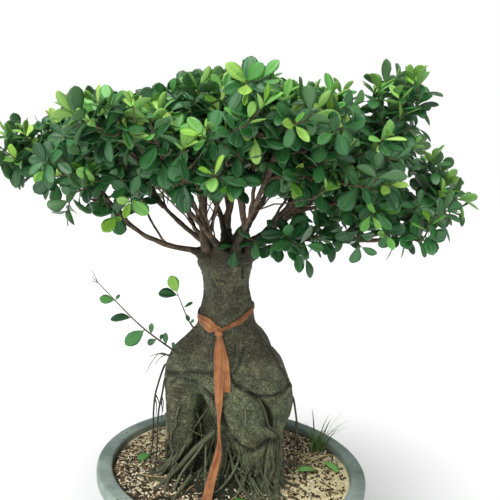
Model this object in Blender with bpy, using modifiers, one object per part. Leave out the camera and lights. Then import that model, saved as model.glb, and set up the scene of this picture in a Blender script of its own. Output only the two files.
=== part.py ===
"""A fig bonsai with a swollen stock on leg-like roots, standing in a wide shallow tub.

Metres, +Z up. The origin is the centre of the tub's underside, and the plant's front faces -Y.
"""

import math
import random

import bmesh
import bpy
from mathutils import Matrix, Vector
from mathutils.bvhtree import BVHTree

UP = Vector((0, 0, 1))
ACROSS = Vector((1, 0, 0))
BACK = Vector((0, 1, 0))
GAP = 0.0003
MERGE = 0.0001

# The tub.
TUB_RADIUS = 0.250
TUB_HEIGHT = 0.170
RIM_WIDTH = 0.0275
RIM_ROUND = 0.004
LIP_DEPTH = 0.024
TUB_WALL = 0.006
TUB_FOOT_RADIUS = 0.185
TUB_HEEL = 0.020
RIM_OVERHANG = 0.016
TUB_STEPS = 40
DRAIN_RADIUS = 0.006
DRAIN_CIRCLE = 0.110
DRAINS = 5

# The soil: its level at the wall, and how its mound rises to the middle.
SOIL_EDGE = TUB_HEIGHT - 0.012
MOUND_RISE = 0.020
MOUND_RADIUS = 0.150
SOIL_GAP = 0.0004
SOIL_STEPS = 5

# The stock and what grows from it.
VOXEL = 0.0050
STOCK_KEPT = 0.10
STOCK_CLEARANCE = 0.0015
ROOT_LEAST = 0.0042
LEAF_LENGTH = 0.046
LEAF_WIDTH = 0.024
LEAF_THICK = 0.0012
LEAF_ROOM = 0.0014
LEAF_WIDEST = 0.55
LEAF_TRIES = 6
LEAF_FOOT = 0.0015
TWIG_RADIUS = 0.0017
NODE_LENGTH = 0.0045
SIDE_TWIG_ROOM = 0.0022
SIDE_TWIG_LENGTHS = (0.036, 0.056)
SPRAY_STEPS = 5
SPRAY_LEAVES = (1, 0, 0, 2, 2)
SPRAY_STAND_OFF = 0.0022
SIDE_TWIG_NODES = ((1, 1), (1, -1), (2, 1), (2, -1))
SHOOT_STEPS = 6
SHOOT_LEAVES = (0, 1, 1, 1, 1, 2)
SHOOT_SAG = 0.08
STALK_RADIUS = 0.0005

# The cloth tie.
CLOTH_THICK = 0.0016
CLOTH_ROOM = 0.0045
BAND_WIDTH = 0.018
BAND_LEVEL = 0.462
BAND_TILT = 0.012
BAND_DIP = 0.030
BAND_SLACK = 0.0012
BAND_CENTRE = Vector((-0.032, 0))
BAND_STEPS = 28
KNOT_SIZE = (0.015, 0.009, 0.012)
KNOT_X = -0.040
TAIL_WIDTH = 0.022
TAIL_TOP = 0.412
LONG_TAIL_X = -0.050
LONG_TAIL_FOOT = 0.205
SHORT_TAIL_X = (-0.026, -0.018)
SHORT_TAIL_FOOT = 0.335
SHORT_TAIL_SHARE = 0.55

# Each strand of the stock: stations of x, y, z and radius.
STRANDS = {
    "neck": (
        (-0.036, 0.000, 0.574, 0.046),
        (-0.038, 0.000, 0.545, 0.048),
        (-0.036, 0.000, 0.505, 0.043),
        (-0.032, 0.000, 0.462, 0.050),
        (-0.028, 0.000, 0.415, 0.060),
        (-0.026, 0.000, 0.370, 0.078),
        (-0.024, 0.005, 0.320, 0.070),
    ),
    "left_leg": (
        (-0.050, 0.000, 0.425, 0.030),
        (-0.072, -0.006, 0.372, 0.050),
        (-0.094, -0.012, 0.335, 0.043),
        (-0.098, -0.020, 0.290, 0.034),
        (-0.095, -0.026, 0.225, 0.025),
        (-0.090, -0.030, 0.180, 0.021),
        (-0.086, -0.034, 0.140, 0.014),
    ),
    "thigh": (
        (-0.034, -0.014, 0.412, 0.036),
        (-0.030, -0.034, 0.362, 0.046),
        (-0.010, -0.046, 0.310, 0.045),
        (0.022, -0.052, 0.258, 0.041),
        (0.044, -0.056, 0.212, 0.033),
        (0.052, -0.060, 0.172, 0.024),
        (0.056, -0.064, 0.138, 0.014),
    ),
    "right_lobe": (
        (-0.006, -0.012, 0.428, 0.036),
        (0.020, -0.026, 0.384, 0.048),
        (0.040, -0.030, 0.352, 0.047),
        (0.062, -0.018, 0.318, 0.038),
        (0.072, -0.006, 0.282, 0.030),
        (0.066, 0.004, 0.230, 0.020),
        (0.060, 0.010, 0.145, 0.015),
    ),
    "right_leg": (
        (0.070, -0.024, 0.300, 0.024),
        (0.076, -0.034, 0.250, 0.013),
        (0.080, -0.046, 0.195, 0.011),
        (0.084, -0.062, 0.140, 0.009),
    ),
    "middle_stub": (
        (-0.034, 0.004, 0.330, 0.050),
        (-0.030, 0.010, 0.270, 0.036),
        (-0.034, 0.004, 0.205, 0.024),
        (-0.040, 0.000, 0.140, 0.016),
    ),
    "rear_left_leg": (
        (-0.048, 0.016, 0.425, 0.030),
        (-0.062, 0.040, 0.360, 0.050),
        (-0.078, 0.062, 0.300, 0.036),
        (-0.080, 0.078, 0.220, 0.026),
        (-0.084, 0.090, 0.140, 0.016),
    ),
    "rear_right_leg": (
        (-0.010, 0.014, 0.430, 0.032),
        (0.010, 0.042, 0.370, 0.052),
        (0.034, 0.064, 0.300, 0.038),
        (0.040, 0.080, 0.225, 0.028),
        (0.046, 0.094, 0.140, 0.016),
    ),
}

# Surface roots: where each leaves a leg, and how far it runs out over the soil at what angle.
SURFACE_ROOTS = (
    ((-0.092, -0.030, 0.200), 0.105, 205, 0.0062),
    ((-0.088, -0.034, 0.196), 0.100, 238, 0.0052),
    ((-0.070, -0.034, 0.192), 0.100, 262, 0.0045),
    ((0.030, -0.064, 0.205), 0.085, 246, 0.0050),
    ((0.052, -0.066, 0.200), 0.090, 292, 0.0058),
    ((0.074, -0.050, 0.200), 0.085, 325, 0.0048),
    ((0.062, 0.010, 0.205), 0.100, 8, 0.0060),
    ((0.044, 0.086, 0.205), 0.090, 62, 0.0062),
    ((-0.040, 0.030, 0.200), 0.110, 96, 0.0050),
    ((-0.082, 0.084, 0.205), 0.085, 135, 0.0062),
    ((-0.096, 0.000, 0.205), 0.090, 172, 0.0050),
)

# Limbs grafted round the top of the stock: stations of x, y, z and radius.
LIMBS = {
    "limb_low_left": (
        (-0.062, 0.002, 0.560, 0.0088),
        (-0.105, -0.008, 0.566, 0.0080),
        (-0.152, -0.024, 0.575, 0.0072),
        (-0.200, -0.038, 0.598, 0.0063),
        (-0.256, -0.050, 0.645, 0.0050),
        (-0.312, -0.055, 0.700, 0.0036),
    ),
    "limb_left_rear": (
        (-0.058, 0.020, 0.566, 0.0085),
        (-0.105, 0.058, 0.586, 0.0075),
        (-0.170, 0.108, 0.628, 0.0060),
        (-0.228, 0.144, 0.682, 0.0047),
        (-0.268, 0.160, 0.730, 0.0036),
    ),
    "limb_leader": (
        (-0.070, -0.032, 0.550, 0.0085),
        (-0.080, -0.034, 0.600, 0.0082),
        (-0.086, -0.030, 0.665, 0.0072),
        (-0.087, -0.022, 0.735, 0.0058),
        (-0.089, -0.014, 0.798, 0.0040),
    ),
    "limb_front_left": (
        (-0.050, -0.034, 0.572, 0.0072),
        (-0.076, -0.078, 0.612, 0.0064),
        (-0.112, -0.130, 0.655, 0.0054),
        (-0.142, -0.175, 0.702, 0.0044),
        (-0.160, -0.202, 0.745, 0.0034),
    ),
    "limb_front": (
        (-0.022, -0.036, 0.578, 0.0070),
        (-0.008, -0.080, 0.622, 0.0062),
        (0.010, -0.130, 0.672, 0.0052),
        (0.024, -0.172, 0.718, 0.0042),
        (0.034, -0.200, 0.752, 0.0034),
    ),
    "limb_diagonal_right": (
        (0.000, -0.016, 0.576, 0.0080),
        (0.034, -0.034, 0.618, 0.0072),
        (0.078, -0.052, 0.662, 0.0062),
        (0.128, -0.070, 0.708, 0.0050),
        (0.186, -0.088, 0.762, 0.0038),
    ),
    "limb_low_right": (
        (-0.002, 0.004, 0.560, 0.0085),
        (0.050, -0.002, 0.583, 0.0080),
        (0.110, -0.014, 0.603, 0.0070),
        (0.180, -0.026, 0.606, 0.0062),
        (0.246, -0.036, 0.618, 0.0050),
        (0.298, -0.042, 0.668, 0.0036),
    ),
    "limb_centre": (
        (-0.020, -0.004, 0.590, 0.0075),
        (0.004, 0.000, 0.634, 0.0070),
        (0.026, 0.006, 0.682, 0.0060),
        (0.042, 0.014, 0.738, 0.0048),
        (0.050, 0.020, 0.792, 0.0036),
    ),
    "limb_right_rear": (
        (-0.008, 0.028, 0.570, 0.0082),
        (0.034, 0.064, 0.602, 0.0074),
        (0.090, 0.106, 0.646, 0.0062),
        (0.150, 0.146, 0.698, 0.0048),
        (0.200, 0.172, 0.748, 0.0036),
    ),
    "limb_rear": (
        (-0.036, 0.038, 0.574, 0.0078),
        (-0.044, 0.088, 0.616, 0.0070),
        (-0.052, 0.140, 0.666, 0.0058),
        (-0.058, 0.186, 0.716, 0.0046),
        (-0.062, 0.216, 0.758, 0.0036),
    ),
    "limb_upper_left": (
        (-0.044, 0.006, 0.588, 0.0074),
        (-0.058, 0.024, 0.634, 0.0068),
        (-0.094, 0.036, 0.684, 0.0058),
        (-0.144, 0.040, 0.732, 0.0046),
        (-0.196, 0.036, 0.772, 0.0036),
    ),
}

# Sprays: the limb, how far along it, and where the spray's twig ends.
SPRAYS = (
    ("limb_low_left", 1.00, (-0.404, -0.060, 0.735)),
    ("limb_low_left", 0.66, (-0.290, -0.176, 0.728)),
    ("limb_left_rear", 1.00, (-0.345, 0.160, 0.775)),
    ("limb_left_rear", 0.68, (-0.205, 0.240, 0.755)),
    ("limb_leader", 1.00, (-0.100, -0.025, 0.868)),
    ("limb_leader", 0.72, (-0.066, -0.118, 0.818)),
    ("limb_front_left", 1.00, (-0.205, -0.262, 0.790)),
    ("limb_front_left", 0.62, (-0.070, -0.252, 0.752)),
    ("limb_front", 1.00, (0.060, -0.290, 0.782)),
    ("limb_front", 0.70, (0.036, -0.120, 0.836)),
    ("limb_diagonal_right", 1.00, (0.236, -0.082, 0.878)),
    ("limb_diagonal_right", 0.66, (0.170, -0.204, 0.766)),
    ("limb_low_right", 1.00, (0.332, -0.060, 0.722)),
    ("limb_low_right", 0.70, (0.244, -0.150, 0.664)),
    ("limb_low_right", 0.42, (0.120, -0.110, 0.626)),
    ("limb_centre", 1.00, (0.080, 0.030, 0.852)),
    ("limb_centre", 0.72, (-0.020, 0.060, 0.856)),
    ("limb_right_rear", 1.00, (0.282, 0.180, 0.800)),
    ("limb_right_rear", 0.70, (0.128, 0.262, 0.772)),
    ("limb_right_rear", 0.52, (0.196, 0.060, 0.790)),
    ("limb_rear", 1.00, (-0.084, 0.288, 0.792)),
    ("limb_rear", 0.68, (0.022, 0.200, 0.828)),
    ("limb_upper_left", 1.00, (-0.282, 0.022, 0.806)),
    ("limb_upper_left", 0.72, (-0.208, -0.072, 0.806)),
    ("limb_upper_left", 0.56, (-0.150, 0.140, 0.818)),
)

# Young shoots on the left shoulder: where each leaves the stock, and where its tip is.
SHOOTS = {
    "shoulder_shoot_lower": ((-0.108, -0.040, 0.388), (-0.246, -0.075, 0.505)),
    "shoulder_shoot_upper": ((-0.088, -0.044, 0.432), (-0.124, -0.062, 0.482)),
}

AERIAL_ROOTS = {
    "aerial_root_left_outer": ((-0.142, -0.010, 0.336), (-0.152, -0.012, 0.290), (-0.152, -0.010, 0.225)),
    "aerial_root_left_inner": ((-0.134, -0.034, 0.318), (-0.140, -0.040, 0.270), (-0.138, -0.046, 0.210)),
    "aerial_root_right": ((0.106, -0.014, 0.296), (0.114, -0.020, 0.250), (0.112, -0.026, 0.205)),
}
AERIAL_RADIUS = 0.0016

FALLEN_LEAVES = {
    "fallen_leaf_front": (0.020, -0.140, 20),
    "fallen_leaf_right": (0.142, -0.006, 200),
    "fallen_leaf_far_right": (0.190, 0.020, 120),
}
STRAWS = {
    "straw_long": ((0.150, 0.030), (0.196, 0.062)),
    "straw_short": ((0.118, 0.062), (0.146, 0.040)),
}
STRAW_RADIUS = 0.0011
STRAW_LIFT = 0.0028
TUFT_PLACE = (0.172, 0.092)
TUFT_HALF = 0.009
BLADE_SIZE = (0.0016, 0.0008)


def clear_scene():
    for item in list(bpy.data.objects):
        bpy.data.objects.remove(item, do_unlink=True)


def new_collection(name):
    group = bpy.data.collections.new(name)
    bpy.context.scene.collection.children.link(group)
    return group


def finish_material(name, colour, roughness):
    material = bpy.data.materials.new(name)
    material.use_nodes = True
    shader = material.node_tree.nodes["Principled BSDF"]
    shader.inputs["Base Color"].default_value = (*colour, 1)
    shader.inputs["Roughness"].default_value = roughness
    shader.inputs["Metallic"].default_value = 0
    return material


def place(name, data, material, group):
    """Puts a mesh or curve into the scene as the named object."""
    item = bpy.data.objects.new(name, data)
    if material:
        data.materials.append(material)
    group.objects.link(item)
    return item


def shade_round(item, angle=40):
    item.data.shade_smooth()
    item.data.set_sharp_from_angle(angle=math.radians(angle))


def evaluated_mesh(item):
    """A new mesh with the object's modifiers applied."""
    bpy.context.view_layer.update()
    graph = bpy.context.evaluated_depsgraph_get()
    return bpy.data.meshes.new_from_object(item.evaluated_get(graph))


def tree_of(item):
    """The object's surface, for finding what is near it."""
    mesh = evaluated_mesh(item)
    points = [item.matrix_world @ vertex.co for vertex in mesh.vertices]
    tree = BVHTree.FromPolygons(points, [tuple(face.vertices) for face in mesh.polygons])
    bpy.data.meshes.remove(mesh)
    return tree


def smooth_path(stations, steps):
    """Points on a smooth curve through the stations, their radii along with them."""
    points = [Vector(station) for station in stations]
    ends = [points[0] * 2 - points[1], *points, points[-1] * 2 - points[-2]]
    path = []
    for k in range(len(points) - 1):
        a, b, c, d = ends[k : k + 4]
        for i in range(steps):
            t = i / steps
            bend = (a * 2 - b * 5 + c * 4 - d) * t**2 + (b * 3 - a - c * 3 + d) * t**3
            path.append((b * 2 + (c - a) * t + bend) * 0.5)
    return [*path, points[-1]]


def tube(name, stations, material, group, steps=3, resolution=1):
    """A round tapered tube along a smooth curve through stations of x, y, z and radius."""
    path = smooth_path(stations, steps)
    curve = bpy.data.curves.new(name, "CURVE")
    curve.dimensions = "3D"
    curve.bevel_depth = 1.0
    curve.bevel_resolution = resolution
    curve.use_fill_caps = True
    spline = curve.splines.new("POLY")
    spline.points.add(len(path) - 1)
    for point, (x, y, z, radius) in zip(spline.points, path):
        point.co = (x, y, z, 1)
        point.radius = radius
    return place(name, curve, material, group)


def as_mesh(item, group):
    """The curve object made a mesh object, with its caps welded on."""
    mesh = evaluated_mesh(item)
    shape = bmesh.new()
    shape.from_mesh(mesh)
    bmesh.ops.remove_doubles(shape, verts=shape.verts, dist=MERGE)
    shape.to_mesh(mesh)
    shape.free()
    name = item.name
    solid = bpy.data.objects.new(name + "_solid", mesh)
    solid.matrix_world = item.matrix_world
    group.objects.link(solid)
    bpy.data.objects.remove(item, do_unlink=True)
    solid.name = name
    return solid


def arc(centre_x, centre_z, radius, start, end, steps=3):
    """Points on an arc in the turned profile's plane, from start to end in degrees."""
    angles = [math.radians(start + (end - start) * i / steps) for i in range(steps + 1)]
    return [(centre_x + radius * math.cos(a), centre_z + radius * math.sin(a)) for a in angles]


def turned(name, profile, material, group):
    """A solid of revolution about Z, from a profile that runs down its outer side."""
    mesh = bpy.data.meshes.new(name)
    shape = bmesh.new()
    points = [shape.verts.new((x, 0, z)) for x, z in profile]
    for first, second in zip(points, points[1:]):
        shape.edges.new((first, second))
    shape.to_mesh(mesh)
    shape.free()
    item = place(name, mesh, material, group)
    screw = item.modifiers.new("turn", "SCREW")
    screw.steps = TUB_STEPS
    screw.render_steps = TUB_STEPS
    screw.use_merge_vertices = True
    screw.merge_threshold = MERGE
    screw.use_smooth_shade = True
    return item


def cut(item, cutter):
    boolean = item.modifiers.new("cut", "BOOLEAN")
    boolean.operation = "DIFFERENCE"
    boolean.object = cutter


def hide_cutter(item):
    item.hide_render = True
    item.display_type = "WIRE"


def make_tub(material, group, cutters):
    """A turned shell with a broad flat rim, a deep lip and drainage holes in its floor."""
    inner_rim = TUB_RADIUS - RIM_WIDTH
    lip_foot = TUB_HEIGHT - LIP_DEPTH
    rounding = TUB_HEIGHT - RIM_ROUND
    profile = [
        (0, TUB_WALL),
        *arc(TUB_FOOT_RADIUS - TUB_WALL, TUB_WALL + TUB_HEEL, TUB_HEEL, 270, 350),
        (inner_rim, lip_foot),
        *arc(inner_rim + RIM_ROUND, rounding, RIM_ROUND, 180, 90, 2),
        *arc(TUB_RADIUS - RIM_ROUND, rounding, RIM_ROUND, 90, 0, 2),
        (TUB_RADIUS - 0.002, lip_foot),
        (TUB_RADIUS - RIM_OVERHANG, lip_foot - 0.001),
        *arc(TUB_FOOT_RADIUS, TUB_HEEL, TUB_HEEL, -10, -90),
        (0, 0),
    ]
    tub = turned("tub", profile, material, group)
    for k in range(DRAINS):
        bpy.ops.mesh.primitive_cylinder_add(vertices=12, radius=DRAIN_RADIUS, depth=4 * TUB_WALL)
        cutter = bpy.context.object
        cutter.name = f"drain_{k + 1}"
        angle = 2 * math.pi * k / DRAINS
        cutter.location = (DRAIN_CIRCLE * math.cos(angle), DRAIN_CIRCLE * math.sin(angle), 0)
        for owner in list(cutter.users_collection):
            owner.objects.unlink(cutter)
        cutters.objects.link(cutter)
        hide_cutter(cutter)
        cut(tub, cutter)
    return tub


def soil_height(x, y):
    """The soil's level: nearly flat at the wall, with a low mound in the middle."""
    spread = min(1, math.hypot(x, y) / MOUND_RADIUS)
    return SOIL_EDGE + MOUND_RISE * (1 + math.cos(math.pi * spread)) / 2


def make_soil(material, group):
    """The soil fills the tub, from its floor to the mound, and stays a gap off the walls."""
    side = arc(TUB_FOOT_RADIUS - TUB_WALL, TUB_WALL + TUB_HEEL, TUB_HEEL, 350, 270)
    top_radius = TUB_RADIUS - RIM_WIDTH - SOIL_GAP
    reaches = [top_radius * k / SOIL_STEPS for k in range(SOIL_STEPS + 1)]
    crown = [(reach, soil_height(reach, 0)) for reach in reaches]
    wall = [(x - SOIL_GAP, z + SOIL_GAP) for x, z in side]
    floor = (0, TUB_WALL + SOIL_GAP)
    profile = [*crown, (top_radius, TUB_HEIGHT - LIP_DEPTH), *wall, floor]
    return turned("soil", profile, material, group)


def root_stations(start, reach, heading, radius):
    """A surface root: it drops from its leg to the soil, runs out half buried and dives in."""
    x, y, z = start
    ahead = Vector((math.cos(math.radians(heading)), math.sin(math.radians(heading))))
    stations = [(x, y, z, radius * 1.7)]
    for share, sunk in ((0.30, -0.2), (0.55, 0.2), (0.80, 0.5), (1.0, 2.2)):
        at = Vector((x, y)) + ahead * reach * share
        thin = max(ROOT_LEAST, radius * (1.25 - 0.5 * share))
        stations.append((at.x, at.y, soil_height(at.x, at.y) - sunk * thin, thin))
    return stations


def make_stock(material, group):
    """The trunk with its leg roots and surface roots, grown together into one body."""
    strands = [*STRANDS.values(), *(root_stations(*root) for root in SURFACE_ROOTS)]
    whole = bmesh.new()
    for stations in strands:
        strand = tube("strand", stations, None, group, steps=5, resolution=4)
        mesh = evaluated_mesh(strand)
        whole.from_mesh(mesh)
        bpy.data.objects.remove(strand, do_unlink=True)
    mesh = bpy.data.meshes.new("stock")
    bmesh.ops.remove_doubles(whole, verts=whole.verts, dist=MERGE)
    whole.to_mesh(mesh)
    whole.free()
    stock = place("stock", mesh, material, group)
    remesh = stock.modifiers.new("grow_together", "REMESH")
    remesh.mode = "VOXEL"
    remesh.voxel_size = VOXEL
    remesh.use_smooth_shade = True
    relax = stock.modifiers.new("soften", "SMOOTH")
    relax.factor = 0.5
    relax.iterations = 3
    thin = stock.modifiers.new("thin_out", "DECIMATE")
    thin.ratio = STOCK_KEPT
    return stock


def swollen_copy(item, clearance, cutters):
    """A cutter a little larger than the item all round."""
    cutter = place(item.name + "_clearance", evaluated_mesh(item), None, cutters)
    swell = cutter.modifiers.new("swell", "DISPLACE")
    swell.strength = clearance
    swell.mid_level = 0
    hide_cutter(cutter)
    return cutter


def section(centre, ahead, top_hint, half_width, half_height):
    """The corners of an upright rectangle square to ahead."""
    side = ahead.cross(top_hint).normalized()
    top = side.cross(ahead).normalized()
    signs = ((-1, -1), (1, -1), (1, 1), (-1, 1))
    return [centre + side * a * half_width + top * b * half_height for a, b in signs]


def extend(shape, face, corners):
    """Extrudes a four-sided face so that its end fits the corners, and returns the end face."""
    end = bmesh.ops.extrude_discrete_faces(shape, faces=[face])["faces"][0]
    end.normal_update()
    middle = sum(corners, Vector()) / 4
    if (corners[1] - corners[0]).cross(corners[2] - corners[1]).dot(end.normal) < 0:
        corners = corners[::-1]
    own_middle = end.calc_center_median()
    spokes = [(loop.vert.co - own_middle).normalized() for loop in end.loops]

    def match(shift):
        turned_by = corners[shift:] + corners[:shift]
        return sum(s.dot((c - middle).normalized()) for s, c in zip(spokes, turned_by))

    best = max(range(4), key=match)
    for loop, corner in zip(end.loops, corners[best:] + corners[:best]):
        loop.vert.co = corner
    end.normal_update()
    return end


def side_faces(end):
    """The faces round an end face, which lie along the stretch behind it."""
    faces = [face for edge in end.edges for face in edge.link_faces if face != end]
    for face in faces:
        face.normal_update()
    return faces


def outline_tree(rings, tip=None):
    """A surface through rings of four corners, closed at both ends, for testing for room."""
    points = [corner for ring in rings for corner in ring]
    faces = [(3, 2, 1, 0)]
    for k in range(len(rings) - 1):
        for i in range(4):
            j = (i + 1) % 4
            faces.append((4 * k + i, 4 * k + j, 4 * k + 4 + j, 4 * k + 4 + i))
    last = 4 * (len(rings) - 1)
    if tip is None:
        faces.append((last, last + 1, last + 2, last + 3))
    else:
        points.append(tip)
        faces += [(last + i, last + (i + 1) % 4, last + 4) for i in range(4)]
    return BVHTree.FromPolygons(points, faces)


class Plant:
    """Keeps what already takes up room, so that no leaf passes through a neighbour."""

    def __init__(self, seed):
        self.random = random.Random(seed)
        self.taken = []

    def take(self, tree, owner):
        self.taken.append((tree, owner))

    def free(self, tree, but=""):
        """Whether nothing but the named owner's room overlaps the tree."""
        return not any(tree.overlap(other) for other, owner in self.taken if owner != but)

    def leaf(self, shape, face, ahead, top_hint, length, width):
        """Grows a kite-shaped leaf from the face, if there is room for it."""
        start = face.calc_center_median()
        corners = [loop.vert.co for loop in face.loops]
        edges = [(b - a).normalized() for a, b in zip(corners, corners[1:] + corners[:1])]
        level = max(edges, key=lambda edge: edge.dot(ahead.cross(top_hint)))
        top_hint = level.cross(ahead)
        middle = start + ahead * length * LEAF_WIDEST
        tip = start + ahead * length
        near = LEAF_FOOT / (length * LEAF_WIDEST)
        narrow = NODE_LENGTH / 2 * (1 - near) + width / 2 * near
        rings = [
            section(start + ahead * LEAF_FOOT, ahead, top_hint, narrow, LEAF_ROOM),
            section(middle, ahead, top_hint, width / 2 + LEAF_ROOM / 2, LEAF_ROOM),
        ]
        room = outline_tree(rings, tip + ahead * LEAF_ROOM)
        if not self.free(room):
            return False
        wide = section(middle, ahead, top_hint, width / 2, LEAF_THICK / 2)
        end = extend(shape, face, wide)
        point = bmesh.ops.poke(shape, faces=[end])["verts"][0]
        point.co = tip
        self.take(room, "leaf")
        return True

    def leaves_round(self, shape, faces, ahead, count):
        """One leaf on a side face of a node or two on opposite ones, each turned its own way."""
        first = self.random.choice(faces)
        opposite = min(faces, key=lambda f: f.normal.dot(first.normal))
        for face in (first, opposite)[:count]:
            outward = face.normal.copy()
            for _ in range(LEAF_TRIES):
                jitter = Vector([self.random.uniform(-0.3, 0.3) for _ in range(3)])
                way = (outward * 0.9 + ahead * 0.5 + jitter).normalized()
                hint = (UP + jitter).normalized()
                size = self.random.uniform(0.85, 1.1)
                if self.leaf(shape, face, way, hint, LEAF_LENGTH * size, LEAF_WIDTH * size):
                    break

    def twig(self, shape, face, path, radius, leaf_counts):
        """Extends the face along the path, with a short leafy stretch at each station."""
        nodes = []
        for k in range(1, len(path)):
            ahead = (path[k] - path[k - 1]).normalized()
            thin = radius * (1 - 0.45 * k / len(path))
            before = section(path[k] - ahead * NODE_LENGTH, ahead, UP, thin, thin)
            at = section(path[k], ahead, UP, thin, thin)
            face = extend(shape, face, before)
            face = extend(shape, face, at)
            nodes.append((ahead, side_faces(face)))
        for (ahead, faces), count in zip(nodes, leaf_counts):
            self.leaves_round(shape, faces, ahead, count)
        self.leaf(shape, face, nodes[-1][0], UP, LEAF_LENGTH * 0.8, LEAF_WIDTH * 0.8)
        return nodes

    def reserve(self, path, radius, owner):
        """Keeps room for a twig that grows later."""
        room = radius + LEAF_ROOM / 2
        ahead = [(b - a).normalized() for a, b in zip(path, path[1:])]
        ahead.append(ahead[-1])
        rings = [section(p, d, UP, room, room) for p, d in zip(path, ahead)]
        self.take(outline_tree(rings), owner)


def point_along(path, share):
    """The point, direction and radius of a limb's centre line at a share of its length."""
    at = share * (len(path) - 1)
    k = min(int(at), len(path) - 2)
    here = path[k].lerp(path[k + 1], at - k)
    ahead = (path[k + 1].xyz - path[k].xyz).normalized()
    return here.xyz, ahead, here.w


def bow(start, bend, end, steps):
    """Points on a bowed line from start to end that leaves and arrives towards the bend."""
    path = []
    for k in range(steps + 1):
        t = k / steps
        path.append(start * (1 - t) ** 2 + bend * 2 * t * (1 - t) + end * t**2)
    return path


def spray_path(limb_path, share, target):
    """A spray's main twig: it leaves its limb clear of the bark and curves up to its target."""
    here, ahead, thickness = point_along(limb_path, share)
    target = Vector(target)
    if share == 1:
        start = here + ahead * 2 * GAP
        leave = ahead
    else:
        towards = (target - here).normalized()
        across = (towards - ahead * towards.dot(ahead)).normalized()
        leave = (across + ahead * 0.35).normalized()
        start = here + across * (thickness * 1.05 + SPRAY_STAND_OFF)
    bend = start + leave * (target - start).length * 0.4
    return bow(start, bend, target, SPRAY_STEPS)


def first_face(shape, path, radius):
    """The four-sided face at a twig's root, which faces along the twig."""
    ahead = (path[1] - path[0]).normalized()
    ring = section(path[0], ahead, UP, radius, radius)
    face = shape.faces.new([shape.verts.new(corner) for corner in ring])
    face.normal_update()
    if face.normal.dot(ahead) < 0:
        face.normal_flip()
    return face


def finish_shape(shape, name, material, group):
    """Closes a twig's root end, turns every face outwards and places the shape."""
    bmesh.ops.holes_fill(shape, edges=shape.edges, sides=4)
    bmesh.ops.recalc_face_normals(shape, faces=shape.faces)
    mesh = bpy.data.meshes.new(name)
    shape.to_mesh(mesh)
    shape.free()
    return place(name, mesh, material, group)


def side_twig(plant, shape, node, sign, name):
    """A side twig that leaves a node to the left or right and ends in a rosette."""
    ahead, faces = node
    level = ahead.cross(UP).normalized() * sign
    side = max((f for f in faces if f.is_valid), key=lambda f: f.normal.dot(level))
    if side.normal.dot(level) < 0.6:
        return
    start = side.calc_center_median()
    reach = plant.random.uniform(*SIDE_TWIG_LENGTHS)
    way = (level * 0.9 + ahead * 0.5 + UP * plant.random.uniform(0.1, 0.5)).normalized()
    path = [start, start + way * reach]
    ends = (start + way * LEAF_FOOT, path[1])
    tree = outline_tree([section(p, way, UP, SIDE_TWIG_ROOM, SIDE_TWIG_ROOM) for p in ends])
    if plant.free(tree, name):
        plant.take(tree, name + "_side")
        plant.twig(shape, side, path, TWIG_RADIUS * 0.8, (2,))


def make_spray(plant, name, path, material, group):
    """A main twig with leaves, and side twigs that each end in a rosette."""
    shape = bmesh.new()
    face = first_face(shape, path, TWIG_RADIUS)
    nodes = plant.twig(shape, face, path, TWIG_RADIUS, SPRAY_LEAVES)
    for k, sign in SIDE_TWIG_NODES:
        side_twig(plant, shape, nodes[k], sign, name)
    return finish_shape(shape, name, material, group)


def make_shoot(plant, name, ends, material, group):
    """A thin young shoot with single leaves along it."""
    start, tip = (Vector(end) for end in ends)
    middle = start.lerp(tip, 0.5) - UP * (tip - start).length * SHOOT_SAG
    path = bow(start, middle, tip, SHOOT_STEPS)
    shape = bmesh.new()
    face = first_face(shape, path, TWIG_RADIUS)
    plant.twig(shape, face, path, TWIG_RADIUS, SHOOT_LEAVES)
    return finish_shape(shape, name, material, group)


def make_fallen_leaf(name, x, y, heading, material, group):
    """A leaf that lies on the soil: a flat kite with a short stalk."""
    shape = bmesh.new()
    ahead = Vector((math.cos(math.radians(heading)), math.sin(math.radians(heading)), 0))
    spread = (-0.03, 0, 0.03)
    level = max(soil_height(x + dx, y + dy) for dx in spread for dy in spread)
    start = Vector((x, y, level + LEAF_THICK + 2 * GAP)) - ahead * LEAF_LENGTH / 2
    face = first_face(shape, [start, start + ahead], STALK_RADIUS)
    wide = section(start + ahead * LEAF_LENGTH * 0.5, ahead, UP, LEAF_WIDTH / 2, LEAF_THICK / 2)
    end = extend(shape, face, wide)
    point = bmesh.ops.poke(shape, faces=[end])["verts"][0]
    point.co = start + ahead * LEAF_LENGTH
    return finish_shape(shape, name, material, group)


def make_tuft(material, group):
    """A tuft of grass: arching blades on a small crown that sits on the soil."""
    x, y = TUFT_PLACE
    lift = soil_height(x, y) + TUFT_HALF / 2 + 4 * GAP
    shape = bmesh.new()
    size = Matrix.Diagonal((2 * TUFT_HALF, 2 * TUFT_HALF, TUFT_HALF, 1))
    bmesh.ops.create_cube(shape, size=1, matrix=Matrix.Translation((x, y, lift)) @ size)
    bmesh.ops.subdivide_edges(shape, edges=shape.edges, cuts=1, use_grid_fill=True)
    shape.normal_update()
    crown = Vector((x, y, lift))
    upper = [f for f in shape.faces if f.calc_center_median().z > lift]
    for k, face in enumerate(upper):
        start = face.calc_center_median()
        away = (start - crown).normalized()
        lean = Vector((away.x, away.y, 0)) * (0.35 + 0.10 * (k % 3))
        rise = 0.040 + 0.011 * (k % 4)
        way = (UP + lean).normalized()
        middle = start + way * rise * 0.5
        top = middle + (way + lean * 0.6).normalized() * rise * 0.5
        end = extend(shape, face, section(middle, way, away, *BLADE_SIZE))
        point = bmesh.ops.poke(shape, faces=[end])["verts"][0]
        point.co = top
    return finish_shape(shape, "grass_tuft", material, group)


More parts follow.
